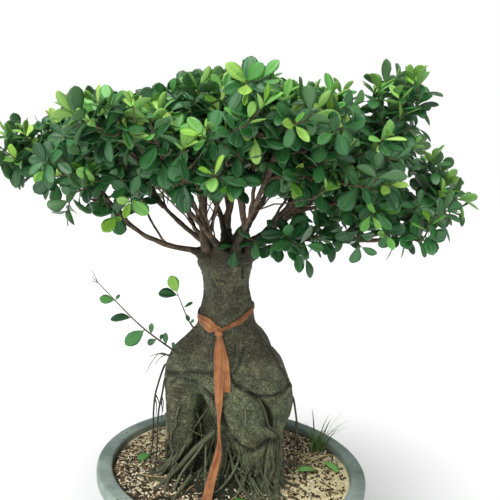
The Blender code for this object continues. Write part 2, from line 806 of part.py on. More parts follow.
def strip(name, centres, across, width, closed, material, group):
    """A strip of cloth along the centres, with its width in the across direction."""
    shape = bmesh.new()
    rails = []
    for centre in centres:
        rails.append([shape.verts.new(centre + across * width * side) for side in (-0.5, 0.5)])
    pairs = [(k, k + 1) for k in range(len(centres) - 1)]
    if closed:
        pairs.append((len(centres) - 1, 0))
    for a, b in pairs:
        shape.faces.new((rails[a][0], rails[b][0], rails[b][1], rails[a][1]))
    bmesh.ops.recalc_face_normals(shape, faces=shape.faces)
    mesh = bpy.data.meshes.new(name)
    shape.to_mesh(mesh)
    shape.free()
    item = place(name, mesh, material, group)
    thick = item.modifiers.new("cloth", "SOLIDIFY")
    thick.thickness = CLOTH_THICK
    thick.offset = 0
    return item


def band_level(angle):
    """The band's height: higher on the right, and pulled down to the knot in front."""
    return BAND_LEVEL + BAND_TILT * math.cos(angle) - BAND_DIP * max(0, -math.sin(angle)) ** 2


def make_band(surface, material, group):
    """The band round the neck, which follows the bark all the way round. Returns its front."""
    centres = []
    for k in range(BAND_STEPS):
        angle = 2 * math.pi * k / BAND_STEPS
        ray = Vector((math.cos(angle), math.sin(angle), 0))
        level = band_level(angle)
        reach = 0
        for rise in (-0.5, -0.25, 0, 0.25, 0.5):
            for turn in (-0.11, 0, 0.11):
                way = Matrix.Rotation(turn, 3, "Z") @ ray
                origin = Vector((*BAND_CENTRE, level + rise * BAND_WIDTH)) + way * 0.2
                hit = surface.ray_cast(origin, -way)[0]
                reach = max(reach, 0.2 - (hit - origin).length)
        out = ray * (reach + CLOTH_THICK / 2 + BAND_SLACK)
        centres.append(Vector((*BAND_CENTRE, level)) + out)
    strip("tie_band", centres, UP, BAND_WIDTH, True, material, group)
    return min(centres, key=lambda centre: centre.y)


def hanging_path(surface, x_top, x_foot, foot, steps):
    """The line of a strip that hangs from the knot over the front of the stock."""
    path = []
    nearest = 0
    for k in range(steps + 1):
        share = k / steps
        x = x_top + (x_foot - x_top) * share
        z = TAIL_TOP + (foot - TAIL_TOP) * share
        for dx in (-0.5, 0, 0.5):
            for dz in (-0.008, 0, 0.008):
                start = Vector((x + dx * TAIL_WIDTH, -0.3, z + dz))
                hit = surface.ray_cast(start, BACK)[0]
                if hit is not None:
                    nearest = min(nearest, hit.y - CLOTH_ROOM)
        path.append(Vector((x, nearest, z)))
    return path


def make_tails(surface, material, group):
    """The two loose ends below the knot; the long one runs down onto the soil."""
    long_path = hanging_path(surface, LONG_TAIL_X, LONG_TAIL_X, LONG_TAIL_FOOT, 12)
    front = long_path[-2].y
    for reach, rise in ((0.006, 0.022), (0.024, 0.008), (0.052, 0.0035), (0.078, 0.0030)):
        x, y = LONG_TAIL_X - 0.001 - reach * 0.1, front - reach
        long_path.append(Vector((x, y, soil_height(x, y) + rise)))
    strip("tie_long_tail", long_path, ACROSS, TAIL_WIDTH, False, material, group)
    short_path = hanging_path(surface, *SHORT_TAIL_X, SHORT_TAIL_FOOT, 5)
    short_width = TAIL_WIDTH * SHORT_TAIL_SHARE
    strip("tie_short_tail", short_path, ACROSS, short_width, False, material, group)


def make_knot(front, material, group):
    """The knot, a soft lump in front of the band and just above the tails."""
    shape = bmesh.new()
    size = Matrix.Diagonal((*KNOT_SIZE, 1))
    stand_off = CLOTH_THICK / 2 + KNOT_SIZE[1] + 2 * GAP
    where = Matrix.Translation((KNOT_X, front.y - stand_off, front.z))
    bmesh.ops.create_icosphere(shape, subdivisions=2, radius=1, matrix=where @ size)
    mesh = bpy.data.meshes.new("tie_knot")
    shape.to_mesh(mesh)
    shape.free()
    return place("tie_knot", mesh, material, group)


clear_scene()
parts = new_collection("bonsai_tree_in_a_pot")
cutters = new_collection("cutters")
clay = finish_material("tub_grey_green", (0.20, 0.26, 0.24), 0.55)
earth = finish_material("soil_bark_mix", (0.10, 0.06, 0.035), 0.95)
bark = finish_material("stock_bark", (0.17, 0.17, 0.11), 0.8)
wood = finish_material("limb_bark", (0.11, 0.075, 0.045), 0.8)
leaf_green = finish_material("leaf_green", (0.02, 0.11, 0.03), 0.4)
cloth = finish_material("tie_cloth", (0.52, 0.18, 0.06), 0.85)
grass_green = finish_material("grass_green", (0.20, 0.34, 0.06), 0.6)
straw_tan = finish_material("straw_tan", (0.50, 0.38, 0.18), 0.8)

make_tub(clay, parts, cutters)
soil = make_soil(earth, parts)
stock = make_stock(bark, parts)
stock_cutter = swollen_copy(stock, STOCK_CLEARANCE, cutters)
cut(soil, stock_cutter)

plant = Plant(seed=7)
stock_surface = tree_of(stock)
plant.take(stock_surface, "stock")

limb_paths = {}
for name, stations in LIMBS.items():
    limb = as_mesh(tube(name, stations, wood, parts), parts)
    shade_round(limb, 60)
    cut(limb, stock_cutter)
    plant.take(tree_of(limb), name)
    limb_paths[name] = smooth_path(stations, 3)

spray_paths = {}
numbers = {}
for limb_name, share, target in SPRAYS:
    numbers[limb_name] = numbers.get(limb_name, 0) + 1
    name = f"spray_{limb_name[5:]}_{numbers[limb_name]}"
    spray_paths[name] = spray_path(limb_paths[limb_name], share, target)
    plant.reserve(spray_paths[name], TWIG_RADIUS, name)
for name, path in spray_paths.items():
    make_spray(plant, name, path, leaf_green, parts)

for name, ends in SHOOTS.items():
    make_shoot(plant, name, ends, leaf_green, parts)

for name, bends in AERIAL_ROOTS.items():
    x, y, _ = bends[-1]
    foot = Vector((x * 1.02, y * 1.4, soil_height(x, y) + 0.004))
    stations = [(*at, AERIAL_RADIUS) for at in (*bends, foot)]
    tube(name, stations, bark, parts, steps=2)

make_knot(make_band(stock_surface, cloth, parts), cloth, parts)
make_tails(stock_surface, cloth, parts)

make_tuft(grass_green, parts)
for name, (x, y, heading) in FALLEN_LEAVES.items():
    make_fallen_leaf(name, x, y, heading, leaf_green, parts)
for name, ends in STRAWS.items():
    stations = [(x, y, soil_height(x, y) + STRAW_LIFT, STRAW_RADIUS) for x, y in ends]
    tube(name, stations, straw_tan, parts, steps=1)
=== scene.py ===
"""The looks of a fig bonsai in a wide shallow tub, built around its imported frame.

Metres, +Z up. The plant's front faces -Y. Order: materials, mesh helpers, node trees, camera and
light, tub and soil, stock and roots, limbs and twigs, leaves, cloth tie, litter on the soil.
"""

import math

import bmesh
import bpy
import numpy as np
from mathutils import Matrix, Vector, noise
from mathutils.bvhtree import BVHTree


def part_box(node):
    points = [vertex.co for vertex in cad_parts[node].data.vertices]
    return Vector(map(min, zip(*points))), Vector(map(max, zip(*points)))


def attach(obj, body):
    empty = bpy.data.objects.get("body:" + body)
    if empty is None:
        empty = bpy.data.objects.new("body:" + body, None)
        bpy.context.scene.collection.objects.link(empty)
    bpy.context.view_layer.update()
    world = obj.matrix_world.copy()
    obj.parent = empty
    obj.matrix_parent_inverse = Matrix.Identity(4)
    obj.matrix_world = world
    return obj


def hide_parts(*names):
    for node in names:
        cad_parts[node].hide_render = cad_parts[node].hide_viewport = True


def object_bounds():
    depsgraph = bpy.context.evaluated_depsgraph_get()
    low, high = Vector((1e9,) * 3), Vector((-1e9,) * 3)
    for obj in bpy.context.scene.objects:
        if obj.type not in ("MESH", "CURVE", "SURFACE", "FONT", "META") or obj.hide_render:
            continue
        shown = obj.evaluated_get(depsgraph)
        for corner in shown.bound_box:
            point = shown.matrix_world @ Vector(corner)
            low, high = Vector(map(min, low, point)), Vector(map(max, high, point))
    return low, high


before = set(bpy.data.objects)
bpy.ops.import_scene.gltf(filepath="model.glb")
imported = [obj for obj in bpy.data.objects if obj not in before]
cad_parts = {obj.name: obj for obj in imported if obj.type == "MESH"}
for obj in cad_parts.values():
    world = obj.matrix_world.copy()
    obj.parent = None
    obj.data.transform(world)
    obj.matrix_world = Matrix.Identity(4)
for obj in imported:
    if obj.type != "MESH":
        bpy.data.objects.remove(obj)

cad_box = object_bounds()
UP = Vector((0, 0, 1))
NODES = sorted(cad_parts)
SPRAYS = [name for name in NODES if name.startswith("spray_")]
BOXES = {name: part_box(name) for name in NODES}

# The camera and its light.
CAMERA_PLACE = (0.0025, -1.080, 0.705)
CAMERA_PITCH = 7.0
CAMERA_ROLL = 4.4
LENS = 43.2
SENSOR = 36.0
SUN_STRENGTH = 2.75
LAMP_POWER = 20
SKY_STRENGTH = 0.38

# The tub and the soil in it.
RIM_WIDTH = 0.0275
RIM_ROUND = 0.005
LIP_DEPTH = 0.024
TUB_WALL = 0.006
FOOT_SHARE = 0.74
TUB_STEPS = 180
MOUND_RISE = 0.020
MOUND_RADIUS = 0.150
SOIL_STEP = 0.0026
SOIL_SKIRT = 0.030

# The stock and its roots: the line its neck follows, where its bark changes, and its root counts.
STOCK_VOXEL = 0.0024
NECK_X = -0.036
STOCK_X = -0.020
NECK_FOOT = 0.47
RINGED_LEG_X = -0.095
RINGED_LEG_TOP = 0.36
RIDGE_ROOTS = 26
THREAD_ROOTS = 74
CURTAIN_ROOTS = 84
CRAWL_STEP = 0.006

# The limbs and twigs. Boughs are the long twigs that leave the limbs first.
CROWN_FOOT = (-0.035, 0.0, 0.50)
LIMB_THIN = 0.64
BARE_FOOT_SHARE = 0.16
BOUGHS = 90
BOUGH_SPAN = 0.17
FORK_GAP = 0.018
TWIG_STEP = 0.011
TWIG_KINK = 0.0011
TWIG_TIP = 0.0010
TWIG_SWELL = 0.46

# The shoots. Below its skirt the crown thins out, and in its open heart the twigs are bare.
CROWN_HEART = (-0.03, 0.0, 0.58)
CROWN_MARGIN = 0.024
CROWN_TOP_MARGIN = 0.034
TRIES_PER_SPRAY = 300
SHOOT_SPACING = 0.0275
SHOOT_STEM = 0.030
SKIRT_LEFT = 0.672
SKIRT_RIGHT = 0.645
OPEN_HEART = 0.72
HEART_X = -0.015
HEART_HALF = 0.14
HEART_TOP = 0.79
BARE_SPACING = 0.018
BARE_LOWEST = 0.655

# The leaves.
GOLDEN_ANGLE = math.radians(137.5)
LEAF_LENGTH = 0.039
LEAF_WIDTH = 0.62
OPEN_TIP_SHARE = 0.55
SHOULDER_LEAF = 0.043
LOOSE_LEAF = 0.034

# The crown's upper outline: rows of how far across and up the whole plant's box it runs.
CROWN_TOP = (
    (0.00, 0.845), (0.11, 0.88), (0.18, 0.915), (0.29, 0.91), (0.36, 0.94), (0.43, 0.965),
    (0.53, 0.99), (0.58, 0.965), (0.65, 0.955), (0.73, 0.97), (0.82, 0.995), (0.87, 1.01),
    (0.91, 0.955), (0.95, 0.84), (1.00, 0.79),
)

# The crown's five pieces of leaves, from its left to its right, with their bounds across.
CROWN_PARTS = (
    ("far_left", -1.0, -0.21),
    ("left", -0.21, -0.10),
    ("middle", -0.10, 0.015),
    ("right", 0.015, 0.14),
    ("far_right", 0.14, 1.0),
)

# The grass and the straws.
LONG_BLADES = 22
SHORT_BLADES = 4
LOOSE_STRAWS = 16

# The cloth tie.
CLOTH_THICK = 0.0005
BAND_STEPS = 150
BAND_STAND_OFF = 0.0020
BAND_PLEAT = 0.0011
STRIP_COLUMNS = 13


# ---------------------------------------------------------------- materials


def rgb(red, green, blue):
    """A colour given as 0 to 255 screen values, in the linear light that shaders use."""
    scaled = (red / 255, green / 255, blue / 255)
    return tuple(((c + 0.055) / 1.055) ** 2.4 if c > 0.04 else c / 12.92 for c in scaled) + (1.0,)


class Value:
    """A socket of a material's node tree. Arithmetic on it adds Math nodes."""

    def __init__(self, finish, socket):
        self.finish = finish
        self.socket = socket

    def math(self, operation, *others):
        """A Math node that takes this value first."""
        return self.finish.arithmetic(operation, self, *others)

    def __add__(self, other):
        return self.math("ADD", other)

    __radd__ = __add__

    def __sub__(self, other):
        return self.math("SUBTRACT", other)

    def __rsub__(self, other):
        return self.finish.arithmetic("SUBTRACT", other, self)

    def __mul__(self, other):
        return self.math("MULTIPLY", other)

    __rmul__ = __mul__

    def band(self, low, high):
        """0 below low and 1 above high, with a smooth step between; low may be the larger."""
        settings = {"interpolation_type": "SMOOTHSTEP", "clamp": True}
        inputs = {"Value": self, "From Min": low, "From Max": high}
        if low > high:
            inputs.update({"From Min": high, "From Max": low, "To Min": 1.0, "To Max": 0.0})
        return self.finish.node("MapRange", settings, inputs)


class Finish:
    """A material on a Principled shader, and the one method that adds its other nodes."""

    def __init__(self, name, **constants):
        self.material = bpy.data.materials.new(name)
        self.material.use_nodes = True
        self.tree = self.material.node_tree
        self.shader = self.tree.nodes["Principled BSDF"]
        for key, value in constants.items():
            self.shader.inputs[key.replace("_", " ").title()].default_value = value
        self.place = self.node("TexCoord", output="Object")

    def node(self, kind, settings=None, inputs=None, output=0):
        node = self.tree.nodes.new("ShaderNode" + kind)
        for key, setting in (settings or {}).items():
            setattr(node, key, setting)
        for key, value in (inputs or {}).items():
            self.feed(node.inputs[key], value)
        return Value(self, node.outputs[output])

    def feed(self, socket, value):
        if isinstance(value, Value):
            self.tree.links.new(value.socket, socket)
        else:
            socket.default_value = value

    def arithmetic(self, operation, *terms):
        return self.node("Math", {"operation": operation}, dict(enumerate(terms)))

    def attribute(self, name, output="Fac"):
        return self.node("Attribute", {"attribute_name": name}, output=output)

    def part(self, vector, axis):
        return self.node("SeparateXYZ", inputs={0: vector}, output=axis)

    def stretched(self, scale):
        return self.node("Mapping", inputs={"Vector": self.place, "Scale": scale})

    def noise(self, scale, detail=3.0, roughness=0.55, vector=None):
        inputs = {"Vector": vector or self.place, "Scale": scale, "Detail": detail}
        return self.node("TexNoise", inputs=inputs | {"Roughness": roughness})

    def cells(self, scale, feature="F1", vector=None):
        inputs = {"Vector": vector or self.place, "Scale": scale}
        return self.node("TexVoronoi", {"feature": feature}, inputs, "Distance")

    def mix(self, first, second, factor):
        inputs = {0: factor, 6: first, 7: second}
        return self.node("Mix", {"data_type": "RGBA"}, inputs, output=2)

    def dress(self, colour, roughness, height=None, relief=0.001, strength=1.0):
        """Feeds the shader, with height as a bump that is relief metres deep."""
        self.feed(self.shader.inputs["Base Color"], colour)
        self.feed(self.shader.inputs["Roughness"], roughness)
        if height is not None:
            bump = {"Height": height, "Distance": relief, "Strength": strength}
            self.feed(self.shader.inputs["Normal"], self.node("Bump", inputs=bump))
        return self.material


def tub_finish():
    """Weathered grey-green moulded ware, with soil specks, water marks and dust, and painted shade
    on the wall below the rim's lip.
    """
    f = Finish("tub_glaze")
    height = f.part(f.place, 2)
    clouds = f.noise(9, 5, 0.6)
    streaks = f.noise(26, 4, 0.6, f.stretched((1, 1, 0.25)))
    colour = f.mix(rgb(112, 130, 123), rgb(154, 171, 161), clouds.band(0.35, 0.65))
    colour = f.mix(colour, rgb(72, 84, 82), streaks.band(0.55, 0.75) * 0.5)
    # Painted shade: the wall below the rim's lip is darkened where the rim keeps light off, and
    # dust is kept off it.
    lower = height.band(0.150, 0.135)
    colour = f.mix(colour, rgb(66, 78, 76), lower * 0.75)
    specks = f.cells(105).band(0.24, 0.15) * f.noise(11, 2).band(0.47, 0.57)
    colour = f.mix(colour, rgb(62, 54, 44), specks * 0.9)
    dust = f.noise(70, 4, 0.7).band(0.56, 0.72) * (1 - lower)
    colour = f.mix(colour, rgb(170, 172, 158), dust * 0.45)
    grain = f.noise(420, 3, 0.6) * 0.5 + f.noise(60, 3) * 0.5 + specks * 0.4
    return f.dress(colour, 0.48 + clouds * 0.22, grain, 0.0006, 0.5)


def soil_finish():
    """Dark earth: sawdust where "dust" is high, and a skin of dark green moss by its own
    attribute, which is also painted shade round the stock's foot.
    """
    f = Finish("soil_earth")
    crumbs = f.cells(260)
    lumps = f.noise(55, 5, 0.65)
    colour = f.mix(rgb(38, 30, 22), rgb(96, 76, 54), lumps.band(0.38, 0.66))
    colour = f.mix(colour, rgb(150, 122, 84), crumbs.band(0.20, 0.08) * 0.6)
    flakes = f.cells(430, vector=f.stretched((1, 0.6, 1)))
    sawdust = f.mix(rgb(186, 166, 120), rgb(242, 230, 186), flakes.band(0.1, 0.45))
    colour = f.mix(colour, sawdust, f.attribute("dust").band(0.25, 0.65))
    felt = f.noise(330, 4, 0.7)
    # The moss's near-black end is partly painted shade under the stock and its roots.
    moss = f.mix(rgb(20, 27, 19), rgb(60, 72, 50), felt.band(0.40, 0.70))
    colour = f.mix(colour, moss, f.attribute("moss").band(0.3, 0.7) * 0.9)
    return f.dress(colour, 0.93, lumps * 0.5 + crumbs * 0.35 + felt * 0.3, 0.003)


def bark_colours(f, hollow):
    """The stock's colour and relief, from brown-grey round the neck to grey-green on the legs."""
    height = f.part(f.place, 2)
    broad = f.noise(7, 4, 0.6)
    mottle = f.noise(42, 5, 0.62)
    legs = (height + broad * 0.09).band(0.45, 0.38)
    upper = f.mix(rgb(68, 67, 49), rgb(104, 104, 80), mottle.band(0.36, 0.64))
    lower = f.mix(rgb(74, 81, 56), rgb(138, 146, 108), mottle.band(0.36, 0.66))
    colour = f.mix(upper, lower, legs)
    colour = f.mix(colour, rgb(92, 74, 52), f.noise(13, 3).band(0.58, 0.72) * 0.5)
    green = f.noise(10, 4, 0.6, f.stretched((1, 1, 0.6)))
    colour = f.mix(colour, rgb(88, 104, 78), green.band(0.5, 0.66) * 0.55)
    lichen = f.noise(75, 5, 0.7).band(0.57, 0.68) * f.noise(11, 2).band(0.42, 0.6)
    colour = f.mix(colour, rgb(168, 172, 144), lichen * 0.6)
    speckle = f.noise(240, 5, 0.8)
    colour = f.mix(colour, rgb(38, 38, 25), speckle.band(0.48, 0.37) * 0.85)
    colour = f.mix(colour, rgb(156, 158, 122), speckle.band(0.55, 0.66) * 0.75)
    grit = f.cells(290, vector=f.stretched((1, 1, 1.35)))
    gritty = f.noise(16, 3).band(0.34, 0.56)
    colour = f.mix(colour, rgb(44, 44, 31), grit.band(0.38, 0.64) * (0.22 + gritty * 0.38))
    colour = f.mix(colour, rgb(168, 172, 144), grit.band(0.24, 0.08) * gritty * 0.7)
    rings = f.noise(1.0, 4, 0.6, f.stretched((22, 22, 330)))
    x = f.part(f.place, 0)
    left_leg = x.band(-0.062, -0.074) * height.band(0.37, 0.34)
    ringed = height.band(0.530, 0.548) + left_leg * 0.8
    colour = f.mix(colour, rgb(40, 35, 25), rings.band(0.47, 0.38) * ringed * 0.75)
    net = f.cells(150, "DISTANCE_TO_EDGE", f.stretched((1.0, 1.0, 0.35)))
    cracks = net.band(0.10, 0.02) * f.noise(19, 3).band(0.42, 0.58)
    colour = f.mix(colour, rgb(46, 42, 30), cracks * 0.28)
    pores = f.cells(300, vector=f.stretched((1, 1, 1.6)))
    specks = pores.band(0.24, 0.14) * f.noise(34, 2).band(0.45, 0.6)
    colour = f.mix(colour, rgb(46, 38, 26), specks * 0.8)
    flecks = f.cells(340).band(0.17, 0.10) * f.noise(27, 3).band(0.46, 0.56)
    colour = f.mix(colour, rgb(186, 188, 158), flecks * 0.7)
    colour = f.mix(colour, rgb(54, 43, 30), (height + broad * 0.02).band(0.545, 0.575) * 0.75)
    # Painted shade: near black in the creases and hollows.
    colour = f.mix(colour, rgb(30, 26, 18), hollow)
    grain = speckle * 0.9 + mottle * 0.7 - cracks * 0.3 - specks * 0.6 - grit * 0.9
    return colour, grain + flecks * 0.3 + rings * ringed * 0.8


def stock_finish():
    """Fig bark, near black where the hollow attribute is high: painted shade in the creases and
    hollows.
    """
    f = Finish("stock_bark")
    hollow = f.attribute("hollow")
    colour, grain = bark_colours(f, hollow * 0.92)
    return f.dress(colour, 0.80 - f.noise(40, 3) * 0.14, grain, 0.0018, 0.9)


def root_finish():
    """Thin roots: "tone" runs from dark brown threads to pale grey-green ones."""
    f = Finish("root_bark")
    tone = f.attribute("tone")
    run = f.noise(90, 4, 0.65)
    colour = f.mix(rgb(52, 42, 32), rgb(122, 128, 98), tone)
    colour = f.mix(colour, rgb(76, 84, 60), run.band(0.42, 0.62) * 0.7)
    colour = f.mix(colour, rgb(44, 36, 26), f.noise(240, 3).band(0.55, 0.68) * 0.7)
    return f.dress(colour, 0.82, run * 0.6 + f.noise(500, 2) * 0.5, 0.0008, 0.7)


def twig_finish():
    """Brown bark on limbs and twigs; "tone" turns the youngest growth green."""
    f = Finish("twig_bark_finish")
    streaks = f.noise(120, 4, 0.65, f.stretched((1, 1, 0.3)))
    colour = f.mix(rgb(50, 40, 31), rgb(110, 90, 68), streaks.band(0.34, 0.68))
    colour = f.mix(colour, rgb(136, 130, 104), f.noise(60, 4).band(0.56, 0.70) * 0.55)
    rings = f.noise(420, 2, 0.5)
    colour = f.mix(colour, rgb(36, 28, 20), rings.band(0.56, 0.68) * 0.6)
    colour = f.mix(colour, rgb(92, 108, 52), f.attribute("tone") * 0.8)
    foot = f.part(f.place, 2) + f.noise(50, 3) * 0.02
    colour = f.mix(colour, rgb(64, 56, 40), foot.band(0.580, 0.556) * 0.8)
    return f.dress(colour, 0.74, streaks * 0.7 + rings * 0.3, 0.0009, 0.7)


def leaf_finish():
    """Glossy leaves: the age attribute runs from 0, young yellow-green, to 1, deep green;
    in the crown it is lowered on lit shoots and held at 1 on shaded ones, which is painted light
    and shade.

    "blade" holds where a point is on its own leaf: along it, across it, and 1 on the upper side.
    """
    f = Finish("leaf_gloss", coat_weight=0.22, coat_roughness=0.22)
    blade = f.attribute("blade", "Vector")
    along, across, upper = (f.part(blade, axis) for axis in range(3))
    age = f.attribute("age")
    tint = f.attribute("tint")
    mottle = f.noise(38, 3, 0.6)
    young = f.mix(rgb(132, 196, 52), rgb(200, 234, 122), tint)
    grown = f.mix(rgb(15, 60, 33), rgb(56, 124, 62), tint * 0.8 + mottle * 0.35)
    middle = f.mix(rgb(58, 146, 54), rgb(120, 194, 92), tint)
    # Painted light: mature leaves on lit shoots get a lower age and so the lighter middle green,
    # and shaded ones stay deep green.
    colour = f.mix(young, middle, age.band(0.0, 0.45))
    colour = f.mix(colour, grown, age.band(0.38, 0.90))
    side = across.math("ABSOLUTE")
    rib = side.band(0.10, 0.03)
    comb = (along * 11.0 - side * 2.6).math("PINGPONG", 0.5)
    veins = comb.band(0.10, 0.02) * side.band(0.98, 0.8)
    colour = f.mix(colour, rgb(96, 146, 72), rib * 0.40)
    colour = f.mix(colour, rgb(84, 134, 70), veins * 0.12)
    under = upper.band(0.6, 0.4)
    beneath = f.mix(rgb(128, 176, 84), rgb(82, 122, 74), age.band(0.2, 0.8))
    colour = f.mix(colour, beneath, under * 0.75)
    roughness = 0.31 + under * 0.28 + mottle * 0.10
    return f.dress(colour, roughness, veins * -0.25 - rib * 0.5 + mottle * 0.3, 0.0007, 0.5)


def cloth_finish():
    """A plain-weave strip of copper-orange cloth; "across" and "run" are metres on the cloth."""
    f = Finish("tie_weave", sheen_weight=0.25)
    run = f.attribute("run")
    across = f.attribute("across")
    weave = (across * 5200.0).math("SINE") * 0.5 + (run * 5200.0).math("SINE") * 0.5
    worn = f.noise(45, 4, 0.6)
    lengthwise = f.node("CombineXYZ", inputs={0: across * 160.0, 1: run * 6.0})
    long_streaks = f.noise(3, 3, 0.6, lengthwise)
    colour = f.mix(rgb(148, 88, 47), rgb(192, 128, 78), worn.band(0.3, 0.7))
    colour = f.mix(colour, rgb(122, 64, 32), long_streaks.band(0.54, 0.70) * 0.6)
    colour = f.mix(colour, rgb(226, 164, 112), weave.band(0.2, 0.9) * 0.25)
    grime = f.noise(24, 3).band(0.60, 0.75)
    colour = f.mix(colour, rgb(92, 62, 42), grime * 0.4)
    return f.dress(colour, 0.78 - worn * 0.1, weave * 0.4 + long_streaks * 0.8, 0.0005, 0.7)


def chip_finish(name, dark, light, roughness):
    """Chips and grains: each has its own shade from "tint", with fibres along its length."""
    f = Finish(name)
    tint = f.attribute("tint")
    fibres = f.noise(260, 4, 0.65, f.stretched((1.0, 0.35, 1.0)))
    colour = f.mix(dark, light, (tint * 0.75 + fibres * 0.5).band(0.15, 1.0))
    colour = f.mix(colour, rgb(52, 40, 28), f.noise(130, 3).band(0.60, 0.74) * 0.5)
    return f.dress(colour, roughness, fibres, 0.0008, 0.7)


def grass_finish():
    f = Finish("grass_blade")
    run = f.attribute("along")
    ribs = f.noise(700, 2, 0.5, f.stretched((1, 1, 0.05)))
    colour = f.mix(rgb(70, 112, 52), rgb(142, 180, 96), f.attribute("tint"))
    colour = f.mix(colour, rgb(168, 176, 96), run.band(0.75, 1.0) * 0.5)
    colour = f.mix(colour, rgb(90, 130, 60), ribs.band(0.4, 0.6) * 0.3)
    return f.dress(colour, 0.45, ribs, 0.0003, 0.4)


def floor_finish():
    f = Finish("pale_floor")
    grain = f.noise(3, 4, 0.5)
    colour = f.mix(rgb(250, 250, 250), rgb(254, 254, 254), grain)
    return f.dress(colour, 0.9)


# ---------------------------------------------------------------- mesh helpers


def mesh_of(name, points, edges=(), faces=()):
    mesh = bpy.data.meshes.new(name)
    mesh.from_pydata(np.asarray(points).tolist(), edges, faces)
    mesh.update()
    return mesh


def shown(name, data):
    """An object of the data, in the scene."""
    piece = bpy.data.objects.new(name, data)
    bpy.context.scene.collection.objects.link(piece)
    return piece


def from_arrays(name, points, faces, material, attributes=None):
    """A plain smooth-shaded mesh object; each attribute is one number or vector for each point."""
    mesh = mesh_of(name, points, faces=faces)
    for key, values in (attributes or {}).items():
        store(mesh, key, values)
    mesh.shade_smooth()
    mesh.materials.append(material)
    return shown(name, mesh)


def store(mesh, key, values):
    """Writes a point attribute, a float or a vector by the shape of values."""
    values = np.asarray(values, np.float32)
    kind, field = ("FLOAT", "value") if values.ndim == 1 else ("FLOAT_VECTOR", "vector")
    layer = mesh.attributes.new(key, kind, "POINT")
    layer.data.foreach_set(field, values.ravel())


def coordinates(mesh, field="co"):
    values = np.empty(len(mesh.vertices) * 3)
    mesh.vertices.foreach_get(field, values)
    return values.reshape(-1, 3)


def evaluated(piece, name):
    """A plain object from what the piece's modifiers make of it; the piece itself goes."""
    graph = bpy.context.evaluated_depsgraph_get()
    graph.update()
    source = piece.evaluated_get(graph)
    mesh = bpy.data.meshes.new_from_object(source, preserve_all_data_layers=True, depsgraph=graph)
    bpy.data.objects.remove(piece, do_unlink=True)
    mesh.name = name
    return shown(name, mesh)


def cleaned(mesh, merge=0.0, turn=True):
    """Joins up points nearer than merge, and turns the faces outwards."""
    shape = bmesh.new()
    shape.from_mesh(mesh)
    if merge:
        bmesh.ops.remove_doubles(shape, verts=shape.verts, dist=merge)
    if turn:
        bmesh.ops.recalc_face_normals(shape, faces=shape.faces)
    shape.to_mesh(mesh)
    shape.free()


def merged_node(node):
    """A copy of a CAD node's mesh with its loose triangles joined up."""
    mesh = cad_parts[node].data.copy()
    cleaned(mesh, 0.00002, turn=False)
    return shown(node + "_copy", mesh)


def joined(name, *pieces):
    """One object from several, which go."""
    shape = bmesh.new()
    for piece in pieces:
        shape.from_mesh(piece.data)
        bpy.data.objects.remove(piece, do_unlink=True)
    mesh = bpy.data.meshes.new(name)
    shape.to_mesh(mesh)
    shape.free()
    return shown(name, mesh)


def tree_of(piece):
    mesh = piece.data
    return BVHTree.FromPolygons([v.co for v in mesh.vertices], [p.vertices for p in mesh.polygons])


def centre_line(node, root_end):
    """The centres and sizes of a tube-like node's rings of corners, from root_end on."""
    copy = merged_node(node)
    mesh = copy.data
    points = coordinates(mesh)
    beside = [set() for _ in points]
    for edge in mesh.edges:
        a, b = edge.vertices
        beside[a].add(b)
        beside[b].add(a)
    far = np.linalg.norm(points - np.array(root_end), axis=1)
    tip = points[far.argmax()]
    near_tip = np.linalg.norm(points - tip, axis=1)
    ring_size = 6 if node.startswith(("limb", "aerial")) else 4
    ring = set(np.argsort(near_tip)[:ring_size].tolist())
    seen = set(ring)
    centres, sizes = [], []
    while len(ring) >= 3:
        corners = points[sorted(ring)]
        middle = corners.mean(0)
        centres.append(middle)
        sizes.append(np.linalg.norm(corners - middle, axis=1).mean())
        ring = set().union(*(beside[k] for k in ring)) - seen
        seen |= ring
    bpy.data.objects.remove(copy, do_unlink=True)
    return np.array(centres[::-1]), np.array(sizes[::-1])


def smooth_line(points, count):
    """A Catmull-Rom curve through the points, as count even steps; it carries extra columns."""
    points = np.asarray(points, float)
    padded = np.vstack([2 * points[0] - points[1], points, 2 * points[-1] - points[-2]])
    along = np.linspace(0, len(points) - 1, count)
    start = np.minimum(along.astype(int), len(points) - 2)
    t = (along - start)[:, None]
    p0, p1, p2, p3 = (padded[start + k] for k in range(4))
    bend = 2 * p0 - 5 * p1 + 4 * p2 - p3
    twist = -p0 + 3 * p1 - 3 * p2 + p3
    return 0.5 * (2 * p1 + (p2 - p0) * t + bend * t**2 + twist * t**3)


# ---------------------------------------------------------------- geometry node trees


def new_tree(name, result, **inputs):
    """A geometry node tree with its named inputs, and its group nodes with their sockets."""
    tree = bpy.data.node_groups.new(name, "GeometryNodeTree")
    for key, kind in inputs.items():
        tree.interface.new_socket(key, in_out="INPUT", socket_type="NodeSocket" + kind)
    tree.interface.new_socket(result, in_out="OUTPUT", socket_type="NodeSocketGeometry")
    return tree, tree.nodes.new("NodeGroupInput"), tree.nodes.new("NodeGroupOutput")


def end_tree(tree, start, end, shapes):
    """Realizes the shapes, gives them the finish and ends the tree."""
    whole = tree.nodes.new("GeometryNodeRealizeInstances")
    finish = tree.nodes.new("GeometryNodeSetMaterial")
    tree.links.new(shapes, whole.inputs["Geometry"])
    tree.links.new(whole.outputs["Geometry"], finish.inputs["Geometry"])
    tree.links.new(start.outputs["Finish"], finish.inputs["Material"])
    tree.links.new(finish.outputs["Geometry"], end.inputs[0])
    return tree


def named_values(tree, **kinds):
    """Named Attribute nodes, as a dictionary of their output sockets."""
    sockets = {}
    for name, kind in kinds.items():
        node = tree.nodes.new("GeometryNodeInputNamedAttribute")
        node.data_type = kind
        node.inputs["Name"].default_value = name
        sockets[name] = node.outputs["Attribute"]
    return sockets


